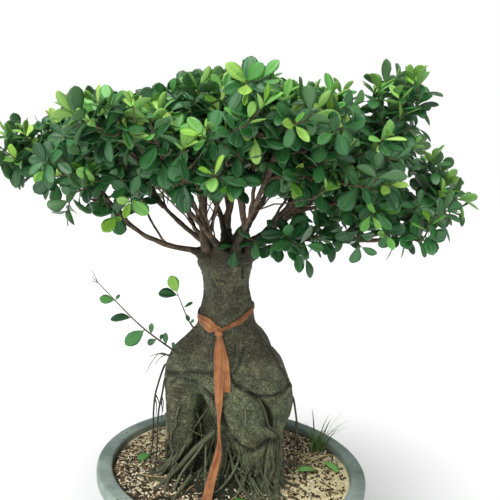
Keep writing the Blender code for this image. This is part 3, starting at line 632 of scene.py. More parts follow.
def tube_tree():
    """Round tubes along polylines: radius from "thick", closed ends, smooth shading."""
    inputs = {"Lines": "Geometry", "Sides": "Int", "Finish": "Material"}
    tree, start, end = new_tree("tubes_along_lines", "Tubes", **inputs)
    new, link = tree.nodes.new, tree.links.new
    curves = new("GeometryNodeMeshToCurve")
    circle = new("GeometryNodeCurvePrimitiveCircle")
    circle.inputs["Radius"].default_value = 1.0
    skin = new("GeometryNodeCurveToMesh")
    skin.inputs["Fill Caps"].default_value = True
    smooth = new("GeometryNodeSetShadeSmooth")
    link(start.outputs["Lines"], curves.inputs["Mesh"])
    link(start.outputs["Sides"], circle.inputs["Resolution"])
    link(curves.outputs["Curve"], skin.inputs["Curve"])
    link(circle.outputs["Curve"], skin.inputs["Profile Curve"])
    link(named_values(tree, thick="FLOAT")["thick"], skin.inputs["Scale"])
    link(skin.outputs["Mesh"], smooth.inputs["Geometry"])
    return end_tree(tree, start, end, smooth.outputs["Geometry"])


def scatter_tree():
    """Shapes set on points: turned by "grow" and "face", scaled by "size", chosen by "kind"."""
    inputs = {"Points": "Geometry", "Shapes": "Collection", "Finish": "Material"}
    tree, start, end = new_tree("shapes_on_points", "Pieces", **inputs)
    new, link = tree.nodes.new, tree.links.new
    shapes = new("GeometryNodeCollectionInfo")
    shapes.inputs["Separate Children"].default_value = True
    shapes.inputs["Reset Children"].default_value = True
    turn = new("FunctionNodeAxesToRotation")
    turn.primary_axis = "X"
    turn.secondary_axis = "Z"
    place = new("GeometryNodeInstanceOnPoints")
    place.inputs["Pick Instance"].default_value = True
    kinds = dict.fromkeys(("grow", "face", "size"), "FLOAT_VECTOR")
    values = named_values(tree, **kinds, kind="INT")
    link(start.outputs["Shapes"], shapes.inputs["Collection"])
    link(values["grow"], turn.inputs["Primary Axis"])
    link(values["face"], turn.inputs["Secondary Axis"])
    link(start.outputs["Points"], place.inputs["Points"])
    link(shapes.outputs["Instances"], place.inputs["Instance"])
    link(values["kind"], place.inputs["Instance Index"])
    link(turn.outputs["Rotation"], place.inputs["Rotation"])
    link(values["size"], place.inputs["Scale"])
    return end_tree(tree, start, end, place.outputs["Instances"])


def run_tree(piece, tree, name, **values):
    """Runs a node tree on the piece with the named inputs, and leaves a plain mesh."""
    modifier = piece.modifiers.new("tree", "NODES")
    modifier.node_group = tree
    for item in tree.interface.items_tree:
        if item.in_out == "INPUT" and item.name in values:
            modifier[item.identifier] = values[item.name]
    return evaluated(piece, name)


TUBES = tube_tree()
SCATTER = scatter_tree()


def grow_tubes(name, lines, material, sides=6):
    """One piece of many tubes. A line is its rows of x, y, z and radius, and its tone."""
    points, edges, thick, tone = [], [], [], []
    for rows, shade in lines:
        first = len(points)
        points.extend(rows[:, :3].tolist())
        thick.extend(rows[:, 3])
        tone.extend(np.broadcast_to(shade, len(rows)))
        edges.extend((k, k + 1) for k in range(first, first + len(rows) - 1))
    mesh = mesh_of(name, points, edges)
    store(mesh, "thick", thick)
    store(mesh, "tone", tone)
    return run_tree(shown(name, mesh), TUBES, name, Sides=sides, Finish=material)


def set_out(name, shapes, material, spots):
    """One piece of many copies; spots is a dictionary of arrays, with the places in "place"."""
    count = len(spots["place"])
    mesh = mesh_of(name, spots["place"])
    for key, values in spots.items():
        if key == "kind":
            layer = mesh.attributes.new("kind", "INT", "POINT")
            layer.data.foreach_set("value", np.asarray(values, np.int32))
        elif key != "place":
            values = np.asarray(values, float)
            if key == "size" and values.ndim == 1:
                values = np.repeat(values[:, None], 3, axis=1)
            store(mesh, key, np.broadcast_to(values, (count,) + values.shape[1:]))
    return run_tree(shown(name, mesh), SCATTER, name, Shapes=shapes, Finish=material)


def shape_kit(name, meshes):
    """A collection of shapes for set_out, kept out of the scene."""
    group = bpy.data.collections.new(name)
    for index, mesh in enumerate(meshes):
        group.objects.link(bpy.data.objects.new(f"{name}_{index}", mesh))
    return group


# ---------------------------------------------------------------- camera and light


def make_camera():
    data = bpy.data.cameras.new("view")
    data.lens = LENS
    data.sensor_width = SENSOR
    data.clip_start = 0.05
    camera = shown("view", data)
    camera.location = CAMERA_PLACE
    camera.rotation_euler.x = math.radians(90 - CAMERA_PITCH)
    camera.rotation_euler.rotate_axis("Z", math.radians(CAMERA_ROLL))
    bpy.context.scene.camera = camera


def make_lights():
    """A broad high sun, a soft front left lamp, and a pale sky that the camera sees as white."""
    sun = bpy.data.lights.new("high_sun", "SUN")
    sun.energy = SUN_STRENGTH
    sun.angle = math.radians(50)
    lamp = bpy.data.lights.new("front_left", "AREA")
    lamp.shape = "DISK"
    lamp.size = 1.6
    lamp.energy = LAMP_POWER
    for data, place in ((sun, (-0.5, -0.9, 3.0)), (lamp, (-1.6, -2.0, 1.5))):
        light = shown(data.name, data)
        light.location = place
        aim = Vector((0, 0, 0.5)) - Vector(place)
        light.rotation_euler = aim.to_track_quat("-Z", "Y").to_euler()
    world = bpy.data.worlds.new("pale_sky")
    world.use_nodes = True
    nodes, links = world.node_tree.nodes, world.node_tree.links
    sky = nodes["Background"]
    sky.inputs["Strength"].default_value = SKY_STRENGTH
    seen = nodes.new("ShaderNodeBackground")
    sky.inputs["Color"].default_value = seen.inputs["Color"].default_value = (1, 1, 1, 1)
    path = nodes.new("ShaderNodeLightPath")
    either = nodes.new("ShaderNodeMixShader")
    links.new(path.outputs["Is Camera Ray"], either.inputs[0])
    links.new(sky.outputs[0], either.inputs[1])
    links.new(seen.outputs[0], either.inputs[2])
    links.new(either.outputs[0], nodes["World Output"].inputs[0])
    bpy.context.scene.world = world
    bpy.context.scene.view_settings.view_transform = "Standard"


def make_floor():
    """A wide round floor just under the tub, in rings that widen outwards."""
    rings, spokes, reach, level = 3, 64, 30.0, -0.0005
    points = [(0, 0, level)]
    for ring in range(1, rings + 1):
        for k in range(spokes):
            angle = 2 * math.pi * k / spokes
            radius = reach * (ring / rings) ** 2
            points.append((radius * math.cos(angle), radius * math.sin(angle), level))
    faces = [(0, 1 + k, 1 + (k + 1) % spokes) for k in range(spokes)]
    for ring in range(rings - 1):
        low = 1 + ring * spokes
        for k in range(spokes):
            after = (k + 1) % spokes
            faces.append((low + k, low + spokes + k, low + spokes + after, low + after))
    floor = from_arrays("floor", points, faces, floor_finish())


# ---------------------------------------------------------------- tub and soil


def revolve(name, profile, material, steps):
    """Turns a closed outline of (radius, height) points into a ring."""
    count = len(profile)
    edges = [(k, (k + 1) % count) for k in range(count)]
    piece = shown(name, mesh_of(name, [(r, 0, z) for r, z in profile], edges))
    screw = piece.modifiers.new("turn", "SCREW")
    screw.steps = screw.render_steps = steps
    screw.use_merge_vertices = True
    screw.merge_threshold = 0.00001
    piece = evaluated(piece, name)
    cleaned(piece.data, 0.00001)
    piece.data.shade_smooth()
    piece.data.materials.append(material)
    return piece


def rounded(corners, step_count=5):
    """The outline with each corner (radius, height, rounding) softened by an arc."""
    outline = []
    for k, (r, z, soft) in enumerate(corners):
        here = np.array((r, z))
        before = np.array(corners[k - 1][:2]) - here
        after = np.array(corners[(k + 1) % len(corners)][:2]) - here
        if soft == 0 or r == 0:
            outline.append((r, z))
            continue
        start = here + before / np.linalg.norm(before) * soft
        end = here + after / np.linalg.norm(after) * soft
        for t in np.linspace(0, 1, step_count):
            point = start * (1 - t) ** 2 + here * 2 * t * (1 - t) + end * t**2
            outline.append(tuple(point))
    return outline


def make_tub():
    """The tub: a turned profile with a broad rim, slightly uneven above half its height."""
    high = BOXES["tub"][1]
    radius, top = high.x, high.z
    inner = radius - RIM_WIDTH
    foot = radius * FOOT_SHARE
    under_rim = radius - RIM_WIDTH + TUB_WALL
    corners = (
        (foot - 0.012, 0.004, 0.001),
        (foot - 0.006, 0.0, 0.002),
        (foot, 0.0, 0.003),
        (foot + 0.004, 0.006, 0.002),
        (under_rim - 0.002, top - LIP_DEPTH - 0.008, 0.004),
        (under_rim, top - LIP_DEPTH, 0.002),
        (radius - 0.002, top - LIP_DEPTH, 0.003),
        (radius, top - LIP_DEPTH / 2, 0.006),
        (radius - 0.001, top, RIM_ROUND),
        (inner - 0.0005, top - 0.0005, RIM_ROUND),
        (inner - 0.0005, top - LIP_DEPTH, 0.001),
        (foot - TUB_WALL, TUB_WALL, 0.004),
        (0.0, TUB_WALL, 0),
        (0.0, 0.004, 0),
    )
    tub = revolve("planter_tub", rounded(corners), tub_finish(), TUB_STEPS)
    points = coordinates(tub.data)
    dents = rough(points, 7) * 0.0006 + rough(points, 24) * 0.0002
    spread = np.hypot(points[:, 0], points[:, 1])
    points[:, 2] += dents * (spread > foot * 0.6) * (points[:, 2] > top * 0.5)
    tub.data.vertices.foreach_set("co", points.ravel())
    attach(tub, "root")
    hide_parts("tub")


def rough(points, scale, stretch=(1, 1, 1), octaves=1):
    """Noise from about -1 to 1 at each point."""
    scaled = np.asarray(points) * scale * np.array(stretch)
    if octaves == 1:
        return np.array([noise.noise(row) for row in scaled.tolist()])
    return np.array([noise.fractal(row, 0.9, 2.1, octaves) for row in scaled.tolist()])


def soil_level(x, y):
    """The soil's height at arrays of x and y: a low mound in the middle."""
    top = BOXES["soil"][1].z
    spread = np.minimum(1, np.hypot(x, y) / MOUND_RADIUS)
    return top - MOUND_RISE * (1 - np.cos(np.pi * spread)) / 2


def soil_relief(x, y):
    """The lumps on the soil, fading to nothing at the tub's wall."""
    flat = np.column_stack([x, y, np.zeros_like(x)])
    edge = BOXES["soil"][1].x
    fade = np.clip((edge - np.hypot(x, y)) / 0.012, 0, 1)
    lumps = rough(flat, 34) * 0.0022 + rough(flat, 95) * 0.0013 + rough(flat, 230) * 0.0007
    return lumps * fade - 0.0006


def litter_fields(x, y):
    """How much sawdust, and how much moss with painted shade, there is at each spot, from 0 to 1.
    """
    flat = np.column_stack([x, y, np.zeros_like(x)])
    wander = rough(flat, 16) * 0.35 + rough(flat, 48) * 0.15
    spread = np.hypot(x, y)
    angle = np.degrees(np.arctan2(y, x))
    front_right = 1.2 * np.exp(-((angle + 22) / 42) ** 2) * np.clip((spread - 0.09) / 0.04, 0, 1)
    back_left = np.exp(-((angle - 150) / 25) ** 2) * np.clip((spread - 0.12) / 0.04, 0, 1)
    left_patch = np.exp(-(((x + 0.135) / 0.018) ** 2 + ((y + 0.075) / 0.03) ** 2))
    dust = np.clip(front_right + back_left * 0.7 + left_patch * 0.9 + wander, 0, 1)
    # Painted shade: the dark moss round the stock's foot also stands for the shade under the stock
    # and its roots.
    mound = np.hypot(x + 0.015, y + 0.035)
    moss = np.clip(1.75 - mound / 0.085 + wander * 1.1, 0, 1)
    rim_moss = np.exp(-((angle + 120) / 24) ** 2) * np.clip((spread - 0.15) / 0.03, 0, 1)
    return dust * (1 - moss * 0.8), np.clip(moss + rim_moss * 0.9, 0, 1)


def make_soil():
    """A closed cake of soil with a finely broken top."""
    edge = BOXES["soil"][1].x - 0.0004
    rings = int(edge / SOIL_STEP)
    points = [(0.0, 0.0)]
    counts = [1]
    for ring in range(1, rings + 1):
        radius = edge * ring / rings
        counts.append(max(6, int(2 * math.pi * radius / SOIL_STEP / 6) * 6))
        for k in range(counts[-1]):
            angle = 2 * math.pi * (k + 0.5 * (ring % 2)) / counts[-1]
            points.append((radius * math.cos(angle), radius * math.sin(angle)))
    flat = np.array(points)
    shape = bmesh.new()
    corners = [shape.verts.new((x, y, 0)) for x, y in flat]
    first = 1
    for ring in range(1, rings + 1):
        outer = corners[first : first + counts[ring]]
        inner_first = first - counts[ring - 1]
        inner = corners[inner_first:first]
        knit(shape, inner, outer)
        first += counts[ring]
    rim = corners[-counts[-1] :]
    low = [shape.verts.new((v.co.x, v.co.y, -SOIL_SKIRT)) for v in rim]
    for k, corner in enumerate(rim):
        after = (k + 1) % len(rim)
        shape.faces.new((corner, low[k], low[after], rim[after]))
    shape.faces.new(low[::-1])
    mesh = bpy.data.meshes.new("soil_surface")
    bmesh.ops.recalc_face_normals(shape, faces=shape.faces)
    shape.to_mesh(mesh)
    shape.free()
    points = coordinates(mesh)
    x, y = points[:, 0], points[:, 1]
    points[:, 2] += soil_level(x, y) + soil_relief(x, y)
    mesh.vertices.foreach_set("co", points.ravel())
    dust, moss = litter_fields(x, y)
    store(mesh, "dust", dust)
    store(mesh, "moss", moss)
    mesh.shade_smooth()
    mesh.materials.append(soil_finish())
    soil = shown("soil_surface", mesh)
    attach(soil, "root")
    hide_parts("soil")


def knit(shape, inner, outer):
    """Triangles between two rings of points that go round the same way."""
    if len(inner) == 1:
        for k, corner in enumerate(outer):
            shape.faces.new((inner[0], corner, outer[(k + 1) % len(outer)]))
        return
    a = b = 0
    while a < len(inner) or b < len(outer):
        one, two = inner[a % len(inner)], outer[b % len(outer)]
        if (a + 1) / len(inner) < (b + 1) / len(outer):
            a += 1
            shape.faces.new((one, two, inner[a % len(inner)]))
        else:
            b += 1
            shape.faces.new((one, two, outer[b % len(outer)]))


# ---------------------------------------------------------------- stock and roots

# Creases and clefts on the stock's front, their grooves darkened with painted shade: the depth and
# the width of each, in metres, and then the spots that it runs through, as shares across and up
# the stock's box.
CREASES = {
    "under_shoulder": (0.0050, 0.0040, (0.13, 0.47), (0.20, 0.475), (0.29, 0.49), (0.41, 0.515)),
    "armpit": (0.0032, 0.0030, (0.19, 0.435), (0.235, 0.465), (0.30, 0.455), (0.38, 0.437)),
    "across_thigh": (0.0018, 0.0018, (0.45, 0.470), (0.53, 0.472), (0.60, 0.448), (0.67, 0.375)),
    "under_bulb": (
        0.0052,
        0.0036,
        (0.48, 0.515), (0.54, 0.470), (0.61, 0.435), (0.68, 0.424), (0.735, 0.432), (0.80, 0.462),
    ),
    "right_fold": (0.0030, 0.0026, (0.685, 0.62), (0.71, 0.58), (0.73, 0.55), (0.80, 0.46)),
    "bulb_corner": (0.0026, 0.0030, (0.55, 0.615), (0.543, 0.58), (0.52, 0.53), (0.49, 0.51)),
    "leg_cleft": (0.0060, 0.0060, (0.375, 0.43), (0.42, 0.41), (0.45, 0.37), (0.49, 0.30)),
    "thigh_edge": (
        0.0042,
        0.0034,
        (0.645, 0.415), (0.690, 0.365), (0.715, 0.305), (0.712, 0.240), (0.695, 0.170),
        (0.700, 0.030),
    ),
    "under_knee": (0.0070, 0.0050, (0.55, 0.250), (0.60, 0.222), (0.65, 0.225), (0.70, 0.255)),
    "bark_slot": (0.0060, 0.0030, (0.517, 0.925), (0.520, 0.89)),
    "scar_high": (0.0016, 0.0022, (0.500, 0.805), (0.502, 0.795)),
    "scar_left": (0.0018, 0.0022, (0.415, 0.765), (0.417, 0.752)),
    "neck_ring_high": (0.0014, 0.0020, (0.31, 0.93), (0.40, 0.925), (0.50, 0.94)),
    "neck_ring_low": (0.0016, 0.0020, (0.30, 0.885), (0.40, 0.872), (0.52, 0.88), (0.56, 0.90)),
}

# Swellings and dents: how far across and up, how wide, and how far out, or in where negative.
FORMS = (
    (0.66, 0.530, 0.030, 0.0075), (0.58, 0.490, 0.020, 0.0040), (0.56, 0.630, 0.018, -0.0040),
    (0.20, 0.540, 0.026, 0.0060), (0.20, 0.400, 0.018, -0.0030), (0.24, 0.330, 0.022, 0.0035),
    (0.26, 0.110, 0.024, -0.0050), (0.60, 0.340, 0.026, 0.0050), (0.66, 0.280, 0.016, 0.0060),
    (0.72, 0.680, 0.030, -0.0090), (0.60, 0.780, 0.010, 0.0060), (0.28, 0.935, 0.016, 0.0090),
    (0.275, 0.860, 0.010, -0.0040), (0.29, 0.790, 0.018, -0.0060), (0.56, 0.860, 0.022, -0.0030),
    (0.30, 0.720, 0.012, 0.0030),
)

# Roots grown into the stock: rows of across, up, how far they stand off, and radius.
FUSED_ROOTS = {
    "crossing": (
        (0.42, 0.27, -0.004, 0.0080), (0.36, 0.235, 0.006, 0.0062), (0.30, 0.195, 0.004, 0.0052),
        (0.25, 0.135, 0.004, 0.0045), (0.215, 0.07, 0.004, 0.0040), (0.20, 0.00, 0.000, 0.0035),
    ),
    "right_crossing": (
        (0.66, 0.31, 0.000, 0.0060), (0.71, 0.275, 0.004, 0.0052), (0.76, 0.245, 0.003, 0.0045),
        (0.80, 0.20, 0.000, 0.0035),
    ),
    "knee_root": (
        (0.59, 0.27, -0.010, 0.0150), (0.60, 0.20, -0.008, 0.0120), (0.615, 0.12, -0.008, 0.0095),
        (0.63, 0.03, -0.008, 0.0080),
    ),
    "right_leg_ridge": (
        (0.735, 0.37, -0.002, 0.0070), (0.757, 0.29, 0.000, 0.0062), (0.752, 0.20, 0.001, 0.0060),
        (0.765, 0.11, 0.001, 0.0062), (0.775, 0.03, 0.001, 0.0066),
    ),
    "side_ridge": (
        (0.80, 0.46, -0.004, 0.0080), (0.825, 0.38, -0.004, 0.0075), (0.83, 0.31, -0.003, 0.0065),
        (0.80, 0.22, -0.003, 0.0045), (0.79, 0.05, -0.003, 0.0035),
    ),
    "left_edge": (
        (0.165, 0.46, -0.001, 0.0026), (0.175, 0.38, 0.000, 0.0024), (0.175, 0.30, 0.000, 0.0022),
        (0.18, 0.18, 0.001, 0.0022), (0.17, 0.06, 0.001, 0.0020),
    ),
}


# Loose roots in front of the legs, over the mound and across the hollow between them: rows of x,
# y, height above the soil, and radius.
FRONT_ROOTS = {
    "long_left": (
        (-0.036, -0.045, 0.070, 0.0052), (-0.068, -0.056, 0.045, 0.0047),
        (-0.093, -0.066, 0.020, 0.0042), (-0.109, -0.076, 0.006, 0.0036),
        (-0.111, -0.105, 0.001, 0.0030), (-0.109, -0.120, -0.004, 0.0024),
    ),
    "long_left_second": (
        (-0.048, -0.050, 0.064, 0.0026), (-0.066, -0.060, 0.038, 0.0024),
        (-0.083, -0.070, 0.018, 0.0022), (-0.093, -0.086, 0.006, 0.0020),
        (-0.101, -0.108, -0.001, 0.0016),
    ),
    "long_left_third": (
        (-0.062, -0.050, 0.038, 0.0021), (-0.084, -0.068, 0.018, 0.0020),
        (-0.092, -0.088, 0.005, 0.0018), (-0.097, -0.112, -0.001, 0.0013),
    ),
    "stub": (
        (-0.070, -0.080, 0.010, 0.0040), (-0.082, -0.100, 0.003, 0.0034),
        (-0.094, -0.132, -0.003, 0.0020),
    ),
    "middle_drop": (
        (-0.050, -0.048, 0.052, 0.0019), (-0.047, -0.072, 0.022, 0.0018),
        (-0.044, -0.086, 0.006, 0.0016), (-0.041, -0.102, -0.001, 0.0012),
    ),
    "middle_drop_second": (
        (-0.023, -0.050, 0.052, 0.0022), (-0.019, -0.062, 0.034, 0.0020),
        (-0.022, -0.078, 0.010, 0.0017), (-0.024, -0.094, -0.001, 0.0013),
    ),
    "long_front": (
        (-0.012, -0.050, 0.062, 0.0029), (-0.004, -0.066, 0.036, 0.0027),
        (0.008, -0.082, 0.014, 0.0025), (0.019, -0.096, 0.004, 0.0023),
        (0.041, -0.130, 0.000, 0.0019), (0.050, -0.146, -0.004, 0.0015),
    ),
    "front_arch": (
        (0.003, -0.074, 0.026, 0.0021), (0.018, -0.084, 0.026, 0.0020),
        (0.034, -0.090, 0.020, 0.0020), (0.050, -0.100, 0.006, 0.0018),
        (0.068, -0.130, -0.002, 0.0014),
    ),
    "front_hook": (
        (0.012, -0.080, 0.020, 0.0017), (0.034, -0.094, 0.008, 0.0016),
        (0.038, -0.112, 0.000, 0.0013), (0.034, -0.124, -0.003, 0.0010),
    ),
    "right_drop": (
        (0.044, -0.078, 0.050, 0.0022), (0.052, -0.086, 0.030, 0.0020),
        (0.064, -0.090, 0.010, 0.0018), (0.068, -0.106, -0.001, 0.0014),
    ),
    "left_spread": (
        (-0.098, -0.050, 0.040, 0.0024), (-0.118, -0.054, 0.012, 0.0022),
        (-0.130, -0.068, 0.001, 0.0018), (-0.136, -0.088, -0.003, 0.0013),
    ),
    "left_spread_second": (
        (-0.104, -0.036, 0.036, 0.0020), (-0.124, -0.040, 0.010, 0.0018),
        (-0.142, -0.052, -0.002, 0.0013),
    ),
    "left_spread_third": (
        (-0.098, -0.064, 0.026, 0.0021), (-0.114, -0.080, 0.006, 0.0019),
        (-0.124, -0.102, -0.002, 0.0014),
    ),
    "hollow_thread": (
        (-0.076, -0.034, 0.112, 0.0012), (-0.064, -0.040, 0.088, 0.0011),
        (-0.058, -0.042, 0.060, 0.0011), (-0.062, -0.048, 0.030, 0.0010),
    ),
    "hollow_thread_second": (
        (-0.052, -0.040, 0.114, 0.0012), (-0.068, -0.044, 0.090, 0.0011),
        (-0.080, -0.044, 0.066, 0.0011),
    ),
    "hollow_thread_third": (
        (-0.084, -0.046, 0.082, 0.0013), (-0.064, -0.048, 0.070, 0.0012),
        (-0.044, -0.046, 0.062, 0.0012),
    ),
}


class Stock:
    """The stock's surface, and ways to find spots on it and paths over it."""

    def __init__(self, surface):
        self.surface = surface
        self.low, self.high = BOXES["stock"]

    def spot(self, across, up, lift=0.0):
        """A point on the front of the stock, by shares of its box."""
        x = self.low.x + (self.high.x - self.low.x) * across
        z = self.low.z + (self.high.z - self.low.z) * up
        place, normal = self.surface.ray_cast(Vector((x, -1, z)), Vector((0, 1, 0)))[:2]
        if place is None:
            middle = (self.low.y + self.high.y) / 2
            place, normal = self.surface.find_nearest(Vector((x, middle - 0.03, z)))[:2]
        return place + normal * lift

    def round_spot(self, angle, height):
        """A point on the stock seen from outside at an angle round it, at a height."""
        way = Vector((math.cos(angle), math.sin(angle), 0))
        middle = Vector((STOCK_X, 0.0, height))
        return self.surface.ray_cast(middle + way, -way)[:2]

    def crawl(self, start, normal, rng, length, radius, lift, run_out):
        """A root's path down the surface and then out over the soil, as rows with its radius."""
        place = start + normal * lift
        rows = [(*place, radius)]
        swing = rng.uniform(-0.5, 0.5)
        travelled = outside = 0.0
        while travelled < length and outside < run_out:
            swing = swing * 0.75 + rng.uniform(-0.45, 0.45)
            level = float(soil_level(place.x, place.y))
            if place.z > level + lift + radius + 0.002:
                normal = self.surface.find_nearest(place)[1]
                heading = -UP + normal.cross(UP) * swing
                heading -= normal * heading.dot(normal)
                if heading.length < 0.2:
                    heading = Vector((normal.x, normal.y, -0.5))
                place = place + heading.normalized() * CRAWL_STEP
                near, normal = self.surface.find_nearest(place)[:2]
                if (place - near).length < 0.02:
                    place = near + normal * lift
                place.z = max(place.z, level)
            else:
                away = Vector((place.x + 0.01, place.y, 0))
                away = away.normalized() if away.length > 0.01 else Vector((0, -1, 0))
                heading = away + away.cross(UP) * swing * 1.4
                place = place + heading.normalized() * CRAWL_STEP
                sink = radius * (1.4 * outside / run_out)
                place.z = float(soil_level(place.x, place.y)) + radius * 0.5 - sink
                outside += CRAWL_STEP
            travelled += CRAWL_STEP
            rows.append((*place, radius * (1 - 0.55 * travelled / length)))
        return np.array(rows)


def distance_to_line(points, line):
    """How far each point is from a polyline."""
    best = np.full(len(points), 1.0)
    for a, b in zip(line[:-1], line[1:]):
        way = b - a
        share = np.clip((points - a) @ way / (way @ way), 0, 1)
        best = np.minimum(best, np.linalg.norm(points - (a + share[:, None] * way), axis=1))
    return best


def relaxed(points, edges, rounds):
    """The points after that many rounds of moving half way to their neighbours' middle."""
    count = np.bincount(edges.ravel(), minlength=len(points))[:, None]
    for _ in range(rounds):
        total = np.zeros_like(points)
        for axis in range(3):
            values = points[:, axis]
            total[:, axis] = np.bincount(edges[:, 0], values[edges[:, 1]], len(points))
            total[:, axis] += np.bincount(edges[:, 1], values[edges[:, 0]], len(points))
        points = (points + total / np.maximum(count, 1)) / 2
    return points


def make_stock(limbs):
    """The swollen stock: the CAD's form with grown-in roots, limb collars, folds and rings."""
    rng = np.random.default_rng(11)
    base = merged_node("stock")
    rough_stock = Stock(tree_of(base))
    lines = []
    for rows in FUSED_ROOTS.values():
        line = [(*rough_stock.spot(a, u, lift), r) for a, u, lift, r in rows]
        lines.append((smooth_line(line, 6 * len(rows)), 0.0))
    for k in range(RIDGE_ROOTS):
        angle = 2 * math.pi * (k + rng.uniform(-0.3, 0.3)) / RIDGE_ROOTS
        height = rng.uniform(0.23, 0.40) if math.sin(angle) > -0.1 else rng.uniform(0.185, 0.20)
        start, normal = rough_stock.round_spot(angle, height)
        if start is None:
            continue
        radius = rng.uniform(0.0030, 0.0048)
        rows = rough_stock.crawl(start, normal, rng, 0.40, radius, radius * 0.1, 0.055)
        lines.append((rows, 0.0))
    for rows in limbs.values():
        start = rows[0, :3]
        inward = np.array((NECK_X, 0.0, start[2])) - start
        below = start + inward * 0.18 - (0, 0, 0.022)
        lowest = start + inward * 0.30 - (0, 0, 0.060)
        collar = [(*lowest, 0.004), (*below, rows[0, 3]), (*start, rows[0, 3] * 1.35)]
        collar.extend((*rows[k, :3], rows[k, 3] * (1.05 - 0.12 * k)) for k in (1, 2))
        lines.append((smooth_line(collar, 24), 0.0))
    ridges = grow_tubes("grown_in_roots", lines, None, sides=8)
    base = joined("fig_stock", base, ridges)
    remesh = base.modifiers.new("skin", "REMESH")
    remesh.mode = "VOXEL"
    remesh.voxel_size = STOCK_VOXEL
    soften = base.modifiers.new("soften", "SMOOTH")
    soften.iterations = 5
    soften.factor = 0.5
    stock = evaluated(base, "fig_stock")
    mesh = stock.data
    for key in ("tone", "thick"):
        if key in mesh.attributes:
            mesh.attributes.remove(mesh.attributes[key])
    carve(mesh, Stock(tree_of(stock)))
    mesh.materials.clear()
    mesh.materials.append(stock_finish())
    mesh.shade_smooth()
    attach(stock, "root")
    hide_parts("stock")
    return Stock(tree_of(stock))


def carve(mesh, stock):
    """Cuts the creases and lays the bark's relief, and stores how hollow each point is, for
    painted shade.
    """
    points = coordinates(mesh)
    normals = coordinates(mesh, "normal")
    edges = np.empty(len(mesh.edges) * 2, np.int64)
    mesh.edges.foreach_get("vertices", edges)
    edges = edges.reshape(-1, 2)
    height = points[:, 2]
    offset = np.zeros(len(points))
    dark = np.zeros(len(points))
    for across, up, reach, push in FORMS:
        gap = np.linalg.norm(points - np.array(stock.spot(across, up)), axis=1)
        offset += push * np.exp(-((gap / reach) ** 2))
    for depth, width, *spots in CREASES.values():
        line = np.array([stock.spot(a, u) for a, u in spots])
        line = smooth_line(line, 8 * len(spots))
        gap = distance_to_line(points, line)
        groove = np.exp(-((gap / width) ** 2))
        shoulder = np.exp(-(((gap - width * 2.2) / (width * 1.6)) ** 2))
        offset += shoulder * depth * 0.25 - groove * depth
        # Painted shade: the deeper creases are marked dark along their grooves.
        dark = np.maximum(dark, groove * min(1.0, depth / 0.0035))
    neck = np.clip((height - NECK_FOOT) / 0.05, 0, 1)
    ringed_leg = np.exp(-(((points[:, 0] - RINGED_LEG_X) / 0.03) ** 2))
    ringed_leg *= np.clip((RINGED_LEG_TOP - height) / 0.05, 0, 1)
    rings = rough(points, 1, (26, 26, 230))
    fibres = rough(points, 1, (120, 120, 20))
    offset += rings * (0.0018 * neck + 0.0009 * ringed_leg)
    offset += fibres * 0.0004 * np.clip((NECK_FOOT - height) / 0.08, 0, 1)
    offset += rough(points, 26, octaves=3) * 0.0012
    offset += rough(points, 120, octaves=2) * 0.0004
    points = points + normals * offset[:, None]
    plain = relaxed(points, edges, 40)
    depth = np.einsum("ij,ij->i", plain - points, normals)
    finer = relaxed(points, edges, 8)
    near_depth = np.einsum("ij,ij->i", finer - points, normals)
    # Painted shade: how far each point sinks below its smoothed neighbours, darkened in the
    # material.
    hollow = np.clip(depth / 0.0045, 0, 1) * 0.75 + np.clip(near_depth / 0.0012, 0, 1) * 0.35
    store(mesh, "hollow", np.clip(np.maximum(hollow, dark * 0.95), 0, 1))
    mesh.vertices.foreach_set("co", points.ravel())
    mesh.update()


def crawling_roots(stock, rng):
    """Threads that creep down the legs and out over the soil."""
    lines = []
    for k in range(THREAD_ROOTS):
        angle = 2 * math.pi * (k + rng.uniform(-0.4, 0.4)) / THREAD_ROOTS
        height = rng.uniform(0.185, 0.26) if k % 4 else rng.uniform(0.24, 0.38)
        start, normal = stock.round_spot(angle, height)
        if start is None:
            continue
        radius = float(rng.choice((0.0011, 0.0016, 0.0022, 0.0030), p=(0.3, 0.3, 0.25, 0.15)))
        rows = stock.crawl(start, normal, rng, 0.32, radius, radius * 0.8, rng.uniform(0.04, 0.11))
        rows = smooth_line(rows[::2], len(rows))
        lines.append((rows, rng.uniform(0.25, 0.95)))
    return lines


def curtain_roots(stock, rng):
    """Roots that leave the foot of the stock and arch down into the soil."""
    lines = []
    for k in range(CURTAIN_ROOTS):
        angle = 2 * math.pi * k / CURTAIN_ROOTS + rng.uniform(-0.1, 0.1)
        if k % 3 == 0:
            angle = rng.uniform(-2.5, -0.6)
        start, normal = stock.round_spot(angle, rng.uniform(0.185, 0.245))
        if start is None:
            continue
        out = np.array((normal.x, normal.y, 0)) + rng.normal(0, 0.35, 3) * (1, 1, 0)
        out /= np.linalg.norm(out) + 0.001
        start = np.array(start)
        span = rng.uniform(0.022, 0.075)
        radius = float(rng.choice((0.0009, 0.0013, 0.0018, 0.0024), p=(0.25, 0.3, 0.25, 0.2)))
        side = np.array((-out[1], out[0], 0)) * rng.normal(0, 0.22)
        rows = []
        for t in np.linspace(0, 1, 8):
            spot = start + (out * (t**1.3) + side * math.sin(t * 4)) * span - out * 0.003
            ground = float(soil_level(spot[0], spot[1])) - radius * (0.4 + 2.2 * max(0, t - 0.8))
            spot[2] = max(start[2] - (start[2] - ground) * min(1, t * 1.5) ** 0.8, ground)
            rows.append((*spot, radius * (1.15 - 0.5 * t)))
        lines.append((smooth_line(rows, 26), rng.uniform(0.35, 1.0)))
    return lines


def front_roots(rng):
    """The loose roots in front, each with a slight waver."""
    lines = []
    for rows in FRONT_ROOTS.values():
        line = [(x, y, float(soil_level(x, y)) + lift + r * 0.6, r) for x, y, lift, r in rows]
        line = smooth_line(line, 30)
        line[:, :2] += rough(line[:, :3] + line[0, 0], 40)[:, None] * (0.0016, -0.0012)
        lines.append((line, 0.45 + 0.5 * rng.random()))
    return lines


